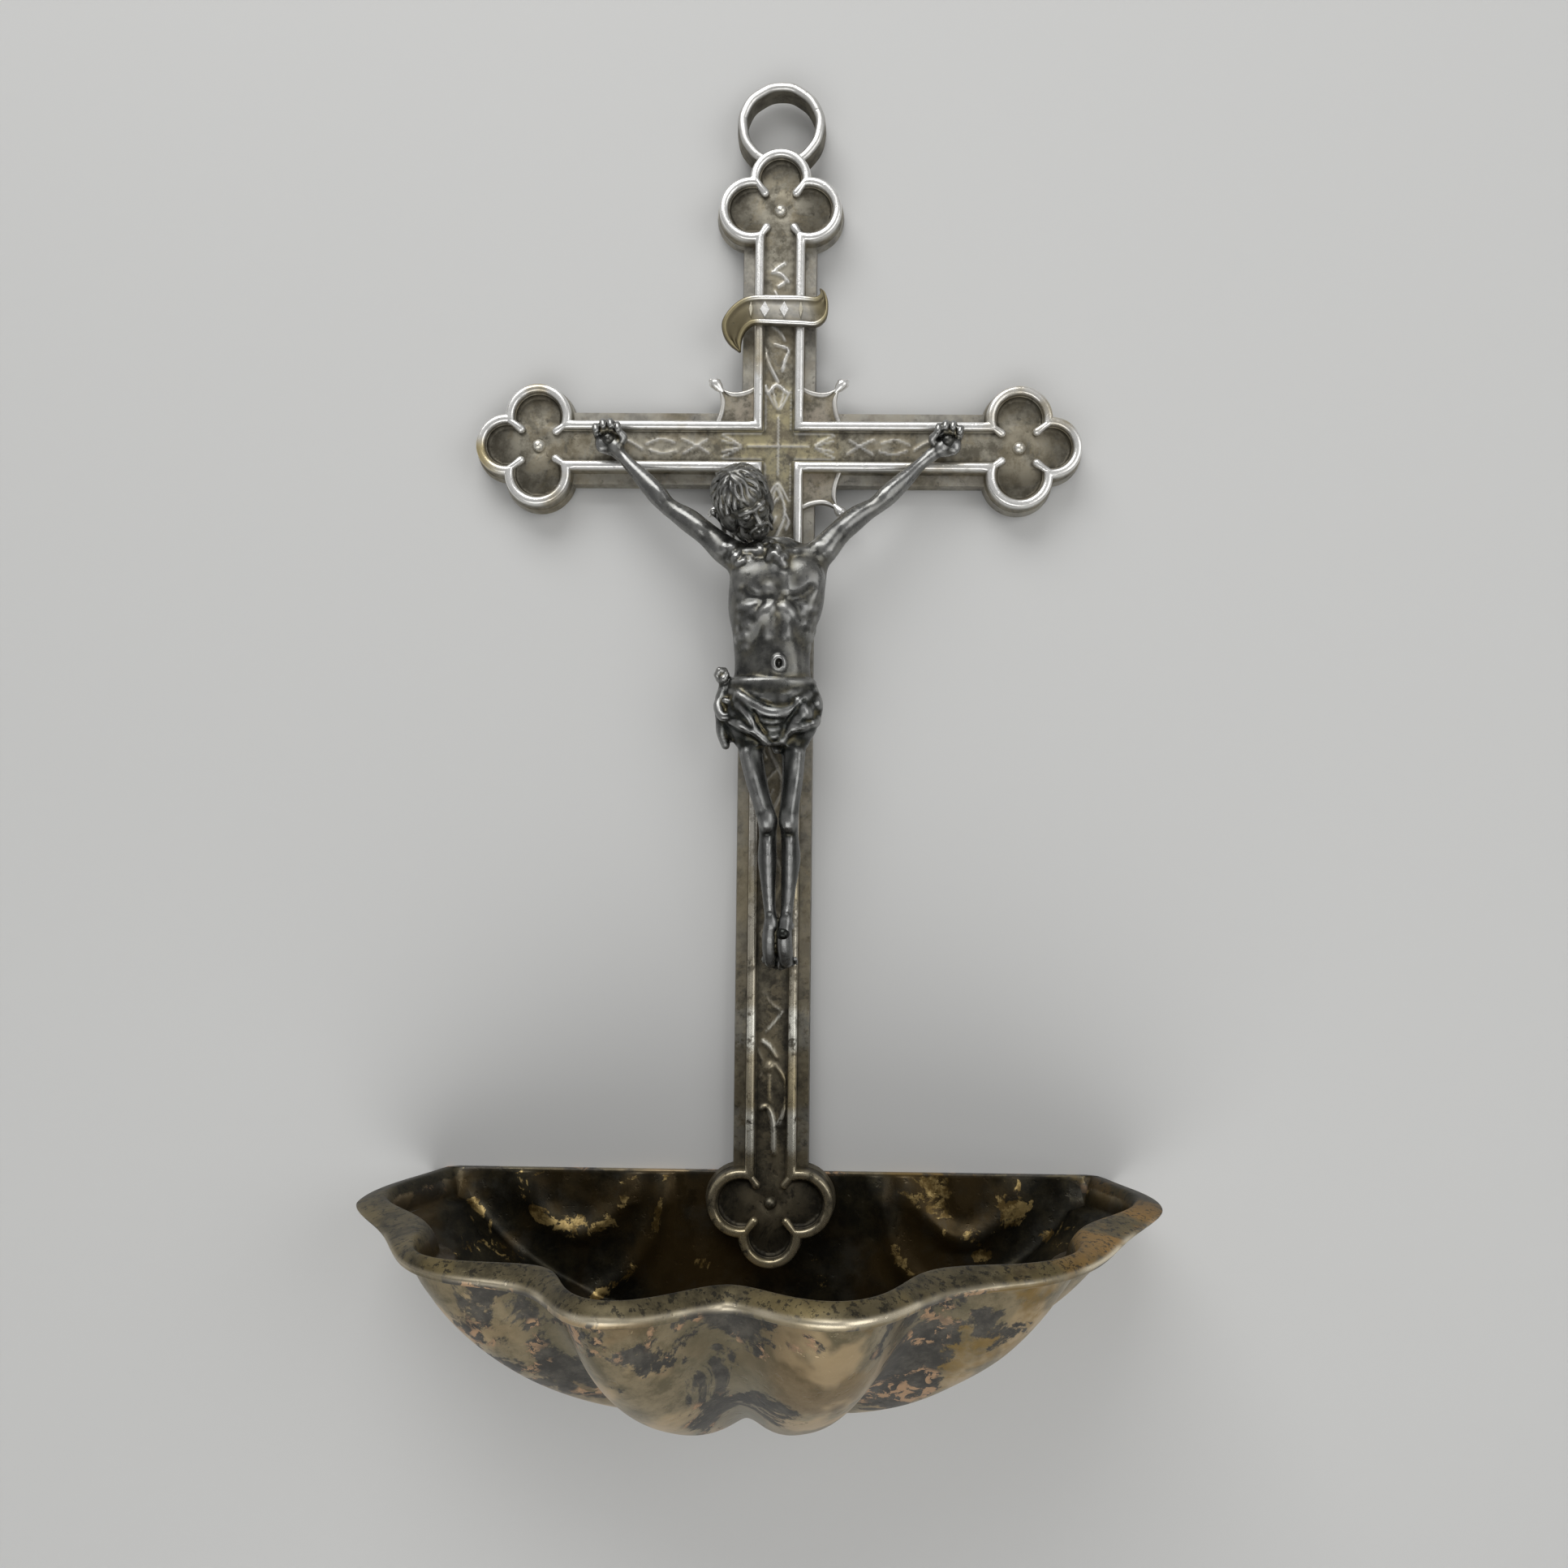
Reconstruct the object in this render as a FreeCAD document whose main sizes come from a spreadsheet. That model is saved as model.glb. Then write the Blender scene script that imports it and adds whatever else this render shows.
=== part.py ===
import FreeCAD, Part
import math
import os

from FreeCAD import Placement, Rotation, Vector

# Holy water stoup: a cast brass crucifix that hangs on a wall by its top ring and
# carries a fluted shell basin at its foot.
# Frame: X across, Y back into the wall, Z up. The origin is the centre of the ring's
# bore, on the cross's back face, so the front of everything looks along -Y.

doc = FreeCAD.newDocument("HolyWaterStoup")
sheet = doc.addObject("Spreadsheet::Sheet", "Sizes")

# Driving dimensions in millimetres, or degrees where the name says Angle.
SIZES = [
    # the cross's outline, measured from the crossing of its arms
    ("crossDrop", 61.3),  # ring centre down to the crossing
    ("topReach", 45.0),  # crossing to the centre of each trefoil
    ("armReach", 45.0),
    ("footReach", 139.9),
    ("endLobe", 5.7),  # radius of a trefoil's outermost lobe
    ("endLobeShift", 5.9),
    ("sideLobe", 6.15),
    ("sideLobeShift", 5.35),
    ("barWidth", 9.2),  # front frame's bars
    ("stripWidth", 13.6),  # back plate's wider bars
    # its layers
    ("plateThickness", 2.2),
    ("plateStep", 0.35),  # how far the plate's trefoils show round the frame's
    ("frameThickness", 3.0),
    ("draft", 0.25),  # how much wider a casting is at its back than at its front
    ("borderWidth", 1.6),
    ("channelDepth", 1.1),
    ("dimpleRadius", 1.75),
    ("dimpleDepth", 0.35),
    # nimbus plate behind the crossing
    ("nimbusHalf", 12.8),  # crossing to the tips of its corner horns
    ("nimbusHollow", 2.0),  # how far in each scallop reaches
    ("nimbusScallop", 4.1),  # radius of the two scallops on each side
    ("nimbusScallopShift", 8.5),  # their centres, from the middle of the side
    ("nimbusThickness", 1.2),
    ("nimbusBorder", 0.75),
    ("nimbusRelief", 0.35),
    # hanging ring
    ("ringBore", 6.4),
    ("ringBand", 1.8),
    ("ringDepth", 5.0),
    # rivets, pins and nuts
    ("rivetShank", 0.7),
    ("rivetHead", 1.2),
    ("pinShank", 0.75),
    ("pinHead", 1.25),
    ("nutSize", 3.4),
    ("nutThickness", 1.2),
    ("holeClearance", 0.1),
    # title scroll
    ("scrollRise", 25.1),  # crossing up to the middle of the scroll
    ("scrollShift", -0.9),
    ("scrollHalf", 6.6),  # half the length of its straight band
    ("scrollHeight", 6.9),
    ("scrollThickness", 0.9),
    ("scrollBead", 0.9),  # height of the raised band along each long edge
    ("scrollRelief", 0.45),
    ("scrollCurl", 6.2),  # radius of the rolled ends
    ("scrollCurlInset", 2.85),  # its centre, inside the end of the band
    ("scrollCurlOffset", 2.65),
    ("scrollNick", 5.8),  # radius of the bite that shapes each tail
    ("scrollNickInset", 5.9),
    ("scrollNickOffset", 6.4),
    ("scrollLowTail", 5.6),
    ("scrollHighTail", 1.9),
    ("pelletSize", 1.15),
    ("pelletPitch", 3.55),
    # figure
    ("handSpan", 31.3),
    ("handRise", 0.2),
    ("handThickness", 2.5),
    ("footThickness", 4.4),
    ("elbowSpan", 19.0),
    ("elbowDrop", 12.8),
    ("shoulderHalf", 8.6),
    ("shoulderDrop", 20.6),
    ("armRadius", 2.0),
    ("wristRadius", 1.25),
    ("chestDepth", 9.6),
    ("waistHalf", 7.0),
    ("hipHalf", 8.6),
    ("hipDrop", 50.0),
    ("kneeDrop", 69.0),
    ("footPinDrop", 90.4),
    ("footPinShift", 2.0),
    ("footLength", 10.5),
    ("thighRadius", 2.5),
    ("shinRadius", 1.55),
    ("ankleRadius", 1.2),
    ("headShift", -5.5),
    ("headDrop", 13.2),
    ("headHalf", 4.7),
    ("headHeight", 12.4),
    ("headForward", 8.6),  # front of the frame to the middle of the head
    ("headLean", 24.0),  # the crown leans to the viewer's left
    ("headBow", 40.0),  # and the face looks down
    # shell basin
    ("rimRise", 4.8),  # foot rivet up to the rim
    ("basinDepth", 31.8),
    ("basinHalf", 63.5),
    ("basinReach", 54.5),  # flute centre to the rim's foremost lobes
    ("basinCentre", 20.0),  # flute centre in front of the wall
    ("basinBack", 54.0),
    ("basinPower", 1.7),
    ("basinPowerLeft", 1.6),  # the left side is a little flatter, as cast
    ("lipSideWidth", 6.0),  # from the basin's rim out to the lip's edge
    ("lipFrontWidth", 4.8),
    ("lipPower", 1.65),
    ("lipPowerLeft", 1.45),
    ("lipDroop", 2.4),
    ("lipThickness", 1.3),
    ("lipFoot", 5.5),  # height over which the wall turns out into the lip
    ("fluteAngle", 38.0),
    ("fluteDepth", 10.6),
    ("fluteSideDepth", 8.2),
    ("lipFluteDepth", 11.0),
    ("lipFluteSideDepth", 2.8),
    ("fluteKeel", 3.5),  # extra groove depth towards the bottom
    ("fluteFadeAngle", 95.0),  # from the front, where the grooves begin to fade
    ("fluteEndAngle", 112.0),
    ("leanAngle", 3.7),  # the basin's front swings a little to the left
    ("basinWall", 1.4),
    ("basinFloorHalf", 0.3),  # floor's size as a share of the rim's
    ("basinBulge", 1.75),  # 2 makes the wall's profile a quarter ellipse, less a straighter one
    ("basinTaper", 0.09),  # how much more the sides narrow than the front, as a share
]
for row, (alias, value) in enumerate(SIZES, start=1):
    cell = "B%d" % row
    sheet.set("A%d" % row, alias)
    sheet.set(cell, str(value))
    sheet.setAlias(cell, alias)
doc.recompute()


def size(alias):
    return float(sheet.get(alias))


# Lengths that several pieces share, written once as sheet formulas.
FRONT = "(Sizes.plateThickness + Sizes.frameThickness)"
SCROLL_UP = "(Sizes.scrollRise - Sizes.crossDrop)"
FACING = Rotation(Vector(1, 0, 0), 90)  # turns a primitive's own +Z to the front, -Y
OVAL_POINTS = 12  # points on each oval of a lofted limb
LEG_STEPS = 10  # even steps down each leg
PLAN_POINTS = 84  # points on each level of the basin

# Each end of the cross: name, direction across and up from the crossing, its reach.
ENDS = [
    ("top", 0, 1, "topReach"),
    ("left", -1, 0, "armReach"),
    ("right", 1, 0, "armReach"),
    ("foot", 0, -1, "footReach"),
]
parts = []


def keep(item, label):
    item.Label = label
    parts.append(item)
    return item


def bind(item, **formulas):
    for path, formula in formulas.items():
        item.setExpression(path.replace("_", "."), formula)
    return item


def place(item, across, forward, up, turn=FACING):
    """Puts a primitive at sheet formulas for X, for the distance forward, and for Z."""
    item.Placement = Placement(Vector(), turn)
    formulas = {
        "Placement_Base_x": across,
        "Placement_Base_y": "-(%s)" % forward,
        "Placement_Base_z": up,
    }
    return bind(item, **formulas)


def cylinder(name, across, forward, up, radius, length):
    item = doc.addObject("Part::Cylinder", name)
    bind(item, Radius=radius, Height=length)
    return place(item, across, forward, up)


def cone(name, across, forward, up, back, front, length):
    item = doc.addObject("Part::Cone", name)
    bind(item, Radius1=back, Radius2=front, Height=length)
    return place(item, across, forward, up)


def box(name, left, right, back, front, low, high):
    """A block between sheet formulas; back and front are distances forward."""
    item = doc.addObject("Part::Box", name)
    bind(
        item,
        Length="(%s) - (%s)" % (right, left),
        Width="(%s) - (%s)" % (front, back),
        Height="(%s) - (%s)" % (high, low),
    )
    return place(item, left, front, low, Rotation())


def bar(name, left, right, low, high, back, thickness, widen):
    """A straight bar whose sides widen by the given amount from front to back."""
    item = doc.addObject("Part::Wedge", name)
    bind(
        item,
        Ymin="-(%s) - (%s)" % (back, thickness),
        Ymax="-(%s)" % back,
        Xmin=left,
        Xmax=right,
        X2min="%s - %s" % (left, widen),
        X2max="%s + %s" % (right, widen),
        Zmin=low,
        Zmax=high,
        Z2min="%s - %s" % (low, widen),
        Z2max="%s + %s" % (high, widen),
    )
    return item


def fuse(name, shapes):
    item = doc.addObject("Part::MultiFuse", name)
    item.Shapes = shapes
    item.Refine = True
    return item


def cut(name, base, tool):
    item = doc.addObject("Part::Cut", name)
    item.Base = base
    item.Tool = tool
    item.Refine = True
    return item


def common(name, shapes):
    item = doc.addObject("Part::MultiCommon", name)
    item.Shapes = shapes
    return item


def cross_outline(name, back, thickness, bar_width, grow, widen):
    """Four trefoils and two bars. grow is added to every lobe, widen is the draft."""
    pieces = []
    for end, dx, dz, reach in ENDS:
        lobes = [("End", "endLobeShift", 0, "endLobe")]
        lobes.append(("Minus", None, -1, "sideLobe"))
        lobes.append(("Plus", None, 1, "sideLobe"))
        for part, shift, side, radius in lobes:
            along = "(Sizes.%s%s)" % (reach, " + Sizes." + shift if shift else "")
            aside = "(%d * Sizes.sideLobeShift)" % side
            across = "%d * %s + %d * %s" % (dx, along, dz, aside)
            up = "%d * %s + %d * %s - Sizes.crossDrop" % (dz, along, dx, aside)
            front = "Sizes.%s + (%s)" % (radius, grow)
            rear = "%s + (%s)" % (front, widen)
            label = name + end.capitalize() + part
            pieces.append(cone(label, across, back, up, rear, front, thickness))
    half = "(%s) / 2" % bar_width
    upright = ("-" + half, half, "-Sizes.crossDrop - Sizes.footReach")
    level = ("-Sizes.armReach", "Sizes.armReach", "-Sizes.crossDrop - " + half)
    pieces.append(
        bar(
            name + "Upright",
            *upright,
            "Sizes.topReach - Sizes.crossDrop",
            back,
            thickness,
            "(%s)" % widen,
        )
    )
    pieces.append(
        bar(
            name + "Level",
            *level,
            half + " - Sizes.crossDrop",
            back,
            thickness,
            "(%s)" % widen,
        )
    )
    return fuse(name, pieces)


# Everything that passes through the cross: across and up, as sheet formulas.
HAND_UP = "Sizes.handRise - Sizes.crossDrop"
FOOT_UP = "-Sizes.crossDrop - Sizes.footPinDrop"
PIN_SPOTS = [
    ("hand_left", "-Sizes.handSpan", HAND_UP),
    ("hand_right", "Sizes.handSpan", HAND_UP),
    ("foot", "Sizes.footPinShift", FOOT_UP),
]
RIVET_SPOTS = []
for end, dx, dz, reach in ENDS:
    across = "%d * Sizes.%s" % (dx, reach)
    up = "%d * Sizes.%s - Sizes.crossDrop" % (dz, reach)
    RIVET_SPOTS.append((end, across, up))
SINK = "(0.6 * Sizes.rivetShank)"  # a countersink's depth, and its growth in radius
BASE = "(%s - Sizes.channelDepth)" % FRONT  # floor of the frame's channel
SEAT = "(%s - Sizes.dimpleDepth)" % BASE  # where a rivet's head sits
BACK = {"foot": "-Sizes.basinWall"}  # the foot rivet also holds the basin's back wall


def tail(name, across, up, back, length, grow="0"):
    """A shank from its peened tail at the back; grow widens it into its own hole."""
    radius = "Sizes.rivetShank + " + grow
    shank = cylinder(name + "Shank", across, back, up, radius, length)
    wide = "%s + %s" % (radius, SINK)
    return [shank, cone(name + "Tail", across, back, up, wide, radius, SINK)]


def dome(name, across, up, seat, radius):
    item = doc.addObject("Part::Sphere", name + "Head")
    item.Angle1 = 0
    bind(item, Radius=radius)
    return place(item, across, seat, up)


# ---- Cross: back plate, nimbus and front frame -------------------------------------
plate_outline = cross_outline(
    "PlateOutline",
    "0",
    "Sizes.plateThickness",
    "Sizes.stripWidth",
    "Sizes.plateStep",
    "Sizes.draft",
)
frame_outline = cross_outline(
    "FrameOutline",
    "Sizes.plateThickness",
    "Sizes.frameThickness",
    "Sizes.barWidth",
    "0",
    "Sizes.draft",
)
channel = cross_outline(
    "Channel",
    BASE,
    "Sizes.channelDepth + Sizes.draft",
    "Sizes.barWidth - 2 * Sizes.borderWidth",
    "-Sizes.borderWidth",
    "-Sizes.draft",
)

holes = []
for end, across, up in RIVET_SPOTS:
    name = "Bore" + end.capitalize()
    back = BACK.get(end, "0")
    holes += tail(name, across, up, back, "%s - (%s)" % (FRONT, back), "Sizes.holeClearance")
for pin, across, up in PIN_SPOTS:
    radius = "Sizes.pinShank + Sizes.holeClearance"
    name = "Bore" + pin.title().replace("_", "")
    holes.append(cylinder(name, across, "0", up, radius, FRONT))
holes += tail("BoreScroll", "0", SCROLL_UP, "0", FRONT, "Sizes.holeClearance")
bores = fuse("Bores", holes)

dimples = []
for end, across, up in RIVET_SPOTS:
    name = "Dimple" + end.capitalize()
    deep = "Sizes.dimpleDepth + Sizes.draft"
    dimples.append(cylinder(name, across, SEAT, up, "Sizes.dimpleRadius", deep))


def nimbus_outline(name, back, thickness, inset):
    """A square with horned corners, set in by the given amount."""
    half = "(Sizes.nimbusHalf - %s)" % inset
    ends = ("-" + half, half, back, "%s + %s" % (back, thickness))
    low = "-%s - Sizes.crossDrop" % half
    square = box(name + "Square", *ends, low, half + " - Sizes.crossDrop")
    radius = "Sizes.nimbusScallop + %s" % inset
    reach = "(Sizes.nimbusHalf - Sizes.nimbusHollow + Sizes.nimbusScallop)"
    scallops = []
    for side, dx, dz, _ in ENDS:
        for turn in (-1, 1):
            across = "%d * %s + %d * Sizes.nimbusScallopShift" % (dx, reach, turn * dz)
            up = "%d * %s + %d * Sizes.nimbusScallopShift - Sizes.crossDrop" % (dz, reach, turn * dx)
            label = "%s%s%d" % (name, side.capitalize(), len(scallops))
            scallops.append(cylinder(label, across, back, up, radius, thickness))
    return cut(name, square, fuse(name + "Scallops", scallops))


nimbus_blank = nimbus_outline(
    "NimbusBlank", "Sizes.plateThickness", "Sizes.nimbusThickness", "0"
)
nimbus_recess = nimbus_outline(
    "NimbusRecess",
    "Sizes.plateThickness + Sizes.nimbusThickness - Sizes.nimbusRelief",
    "Sizes.nimbusRelief",
    "Sizes.nimbusBorder",
)
nimbus = keep(cut("Nimbus", nimbus_blank, nimbus_recess), "nimbus_plate")

keep(cut("BackPlate", plate_outline, bores), "cross_back_plate")
hollows = fuse("FrameHollows", [channel, bores, nimbus] + dimples)
keep(cut("FrontFrame", frame_outline, hollows), "cross_front_frame")

# ---- Hanging ring, cut to sit on the top trefoil -----------------------------------
ring_blank = cone(
    "RingBlank",
    "0",
    "0",
    "0",
    "Sizes.ringBore + Sizes.ringBand + Sizes.draft",
    "Sizes.ringBore + Sizes.ringBand",
    "Sizes.ringDepth",
)
ring_bore = cylinder("RingBore", "0", "0", "0", "Sizes.ringBore", "Sizes.ringDepth")
ring_cutter = fuse("RingCutter", [ring_bore, plate_outline, frame_outline])
keep(cut("Ring", ring_blank, ring_cutter), "hanging_ring")

# ---- Title scroll ------------------------------------------------------------------
scroll_front = "%s + Sizes.scrollThickness" % FRONT
band_ends = ("Sizes.scrollShift - Sizes.scrollHalf", "Sizes.scrollShift + Sizes.scrollHalf")
half_height = "Sizes.scrollHeight / 2"
edges = ("%s - %s" % (SCROLL_UP, half_height), "%s + %s" % (SCROLL_UP, half_height))
scroll = [box("ScrollBand", *band_ends, FRONT, scroll_front, *edges)]
for name, side, tail_length in (("Low", -1, "scrollLowTail"), ("High", 1, "scrollHighTail")):
    end = "(Sizes.scrollShift + %d * Sizes.scrollHalf)" % side
    disc = cylinder(
        "ScrollCurl" + name,
        "%s - %d * Sizes.scrollCurlInset" % (end, side),
        FRONT,
        "%s + %d * Sizes.scrollCurlOffset" % (SCROLL_UP, side),
        "Sizes.scrollCurl",
        "Sizes.scrollThickness",
    )
    nick = cylinder(
        "ScrollNick" + name,
        "%s - %d * Sizes.scrollNickInset" % (end, side),
        FRONT,
        "%s + %d * Sizes.scrollNickOffset" % (SCROLL_UP, side),
        "Sizes.scrollNick",
        "Sizes.scrollThickness",
    )
    far = "%s + %d * Sizes.scrollCurl" % (end, side)
    tip = "%s + %d * (%s + Sizes.%s)" % (SCROLL_UP, side, half_height, tail_length)
    root = "%s - %d * %s" % (SCROLL_UP, side, half_height)
    across = sorted([(side, far), (0, end)])
    up = sorted([(side, tip), (0, root)])
    window = box(
        "ScrollWindow" + name,
        across[0][1],
        across[1][1],
        FRONT,
        scroll_front,
        up[0][1],
        up[1][1],
    )
    scroll.append(cut("ScrollEnd" + name, common("ScrollRoll" + name, [disc, window]), nick))
relief = "%s + Sizes.scrollRelief" % scroll_front
top_edge = ("%s - Sizes.scrollBead" % edges[1], edges[1])
low_edge = (edges[0], "%s + Sizes.scrollBead" % edges[0])
scroll.append(box("ScrollTopBead", *band_ends, scroll_front, relief, *top_edge))
scroll.append(box("ScrollLowBead", *band_ends, scroll_front, relief, *low_edge))
for index in range(4):
    pellet = doc.addObject("Part::Prism", "ScrollPellet%d" % index)
    pellet.Polygon = 4
    bind(pellet, Circumradius="Sizes.pelletSize", Height="Sizes.scrollRelief")
    across = "Sizes.scrollShift + %.1f * Sizes.pelletPitch" % (index - 1.5)
    scroll.append(place(pellet, across, scroll_front, SCROLL_UP))
scroll += tail("ScrollTail", "0", SCROLL_UP, "0", scroll_front)
keep(fuse("TitleScroll", scroll), "title_scroll")

# ---- Rivets, pins and nuts ---------------------------------------------------------
for end, across, up in RIVET_SPOTS:
    name = "Rivet" + end.capitalize()
    back = BACK.get(end, "0")
    body = tail(name, across, up, back, "%s - (%s)" % (SEAT, back))
    body.append(dome(name, across, up, SEAT, "Sizes.rivetHead"))
    label = "bowl_rivet" if end == "foot" else "trefoil_rivet_" + end
    keep(fuse(name, body), label)
for pin, across, up in PIN_SPOTS:
    name = pin.title().replace("_", "")
    seat = "(%s + Sizes.%s)" % (FRONT, "footThickness" if pin == "foot" else "handThickness")
    back = "(-Sizes.nutThickness)"
    shank = cylinder(name + "Shank", across, back, up, "Sizes.pinShank", "%s - %s" % (seat, back))
    head = dome(name, across, up, seat, "Sizes.pinHead")
    words = pin.split("_")
    label = "_".join([words[0], "pin"] + words[1:])
    keep(fuse(name + "Pin", [shank, head]), label)
    half = "Sizes.nutSize / 2"
    blank = box(
        name + "NutBlank",
        "%s - %s" % (across, half),
        "%s + %s" % (across, half),
        back,
        "0",
        "%s - %s" % (up, half),
        "%s + %s" % (up, half),
    )
    radius = "Sizes.pinShank + Sizes.holeClearance / 2"
    bore = cylinder(name + "NutBore", across, back, up, radius, "Sizes.nutThickness")
    keep(cut(name + "Nut", blank, bore), label.replace("pin", "nut"))

doc.recompute()


# ---- Lofted castings ---------------------------------------------------------------
def closed_curve(points):
    curve = Part.BSplineCurve()
    curve.interpolate(Points=points, PeriodicFlag=True)
    return Part.Wire([curve.toShape()])


def limb(stations):
    """Lofts ovals along a line: each station is a centre, a half width and a half depth."""
    wires = []
    centres = [station[0] for station in stations]
    for index, (centre, half_width, half_depth) in enumerate(stations):
        before = centres[max(index - 1, 0)]
        after = centres[min(index + 1, len(centres) - 1)]
        run = (after - before).normalize()
        across = run.cross(Vector(0, 1, 0)).normalize()
        depth = across.cross(run)
        ring = []
        for step in range(OVAL_POINTS):
            angle = 2 * math.pi * step / OVAL_POINTS
            ring.append(
                centre
                + across * (half_width * math.cos(angle))
                + depth * (half_depth * math.sin(angle))
            )
        wires.append(closed_curve(ring))
    return Part.makeLoft(wires, True)


FRONT_FACE = size("plateThickness") + size("frameThickness")


def spot(across, forward, drop):
    """A point of the figure, from the crossing and the front of the frame."""
    return Vector(across, -FRONT_FACE - forward, -size("crossDrop") - drop)


def between(low, high, share):
    return low + (high - low) * share


def row_at(rows, first):
    """The values at a first value, on straight runs between the rows of a table."""
    for low, high in zip(rows, rows[1:]):
        if first <= high[0]:
            break
    share = (first - low[0]) / (high[0] - low[0])
    return [between(a, b, share) for a, b in zip(low, high)]


def torso():
    top = size("shoulderDrop")
    hip = size("hipDrop")
    chest = size("shoulderHalf")
    waist = size("waistHalf")
    hips = size("hipHalf")
    depth = size("chestDepth")
    # share of the way from shoulders to hips, shift, half width, middle, half depth
    levels = [
        (-0.07, -0.4, 0.30 * chest, 0.44, 0.26),
        (0.00, -0.1, 0.78 * chest, 0.44, 0.40),
        (0.10, 0.3, chest, 0.44, 0.52),
        (0.24, 0.2, 0.95 * chest, 0.44, 0.56),
        (0.43, -0.3, between(chest, waist, 0.55), 0.43, 0.51),
        (0.64, -0.6, waist, 0.41, 0.44),
        (0.82, -0.5, between(waist, hips, 0.35), 0.42, 0.46),
        (1.00, -0.6, 0.94 * hips, 0.42, 0.50),
        (1.14, -0.5, 0.86 * hips, 0.42, 0.46),
        (1.20, -0.4, 0.60 * hips, 0.42, 0.32),
    ]
    stations = []
    for share, shift, half_width, middle, half_depth in levels:
        centre = spot(shift, middle * depth, between(top, hip, share))
        stations.append((centre, half_width, half_depth * depth))
    return limb(stations)


def arm(side):
    """An arm from shoulder to fingertips; side is -1 for the viewer's left."""
    radius = size("armRadius")
    wrist = size("wristRadius")
    shoulder = spot(side * 0.80 * size("shoulderHalf"), 4.6, size("shoulderDrop") + 1.2)
    elbow = spot(side * size("elbowSpan"), 3.6, size("elbowDrop"))
    palm = spot(side * size("handSpan"), 0.5 * size("handThickness"), -size("handRise"))
    hand = palm - elbow
    upper = limb(
        [
            (shoulder, 1.25 * radius, 1.35 * radius),
            (shoulder + (elbow - shoulder) * 0.45, 1.08 * radius, 1.12 * radius),
            (elbow, 0.86 * radius, 0.90 * radius),
            (elbow + hand * 0.30, 0.92 * radius, 0.90 * radius),
            (elbow + hand * 0.62, 1.12 * wrist, 1.08 * wrist),
            (elbow + hand * 0.84, wrist, wrist),
            (palm, 1.20 * wrist, 0.9 * wrist),
        ]
    )
    tip = palm + Vector(side * 0.6, 0, 3.9)
    thick = 0.5 * size("handThickness")
    fingers = limb(
        [
            (palm - Vector(0, 0, 2.4), 1.2, 0.9 * thick),
            (palm - Vector(0, 0, 1.2), 1.95, thick),
            (palm + Vector(0, 0, 0.6), 2.25, thick),
            (palm + (tip - palm) * 0.6, 1.95, 0.9 * thick),
            (tip, 1.1, 0.6 * thick),
        ]
    )
    return [upper, fingers]


def leg(side):
    """A leg from hip to toes; the thighs stand apart and close at the knees."""
    thigh = size("thighRadius")
    shin = size("shinRadius")
    ankle = size("ankleRadius")
    knee = size("kneeDrop")
    hip = size("hipDrop")
    end = size("footPinDrop")
    middle = size("footPinShift")
    # drop, the legs' half spread and middle, forward, radius
    levels = [
        (hip, 3.60, -0.40, 3.6, 1.36 * thigh),
        (between(hip, knee, 0.24), 3.80, -0.50, 4.3, 1.12 * thigh),
        (between(hip, knee, 0.42), 3.75, -0.45, 4.9, 0.98 * thigh),
        (between(hip, knee, 0.66), 3.25, -0.05, 5.4, 0.88 * thigh),
        (between(hip, knee, 0.89), 2.45, 0.45, 5.9, 0.78 * thigh),
        (between(knee, end, 0.05), 1.95, 0.85, 6.1, 0.72 * thigh),
        (between(knee, end, 0.19), 1.95, 1.00, 5.2, 1.06 * shin),
        (between(knee, end, 0.37), 1.95, 1.10, 4.5, 1.06 * shin),
        (between(knee, end, 0.56), 1.80, 1.05, 4.1, 0.94 * shin),
        (between(knee, end, 0.79), 1.50, 1.00, 3.6, ankle),
        (between(knee, end, 0.95), 1.25, middle - 0.90, 3.4, ankle),
    ]
    stations = []
    for step in range(LEG_STEPS + 1):
        drop = between(levels[0][0], levels[-1][0], step / LEG_STEPS)
        _, spread, shift, forward, radius = row_at(levels, drop)
        centre = spot(side * spread + shift, forward, drop)
        stations.append((centre, radius, 1.05 * radius))
    sole = spot(middle + side * 0.8, 2.6 + 0.5 * side, end)
    toes_drop = end - 3.4 + 0.9 * size("footLength")
    toes = spot(middle + side * 0.3 - 0.2, 1.7 + 0.4 * side, toes_drop)
    heel = sole + (sole - toes) * 0.45
    foot = limb(
        [
            (heel, 0.7 * ankle, 0.8 * ankle),
            (sole, 1.10 * ankle, 0.9 * ankle),
            (sole + (toes - sole) * 0.6, 1.25 * ankle, 0.7 * ankle),
            (toes, 0.9 * ankle, 0.4 * ankle),
        ]
    )
    return [limb(stations), foot]


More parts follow.
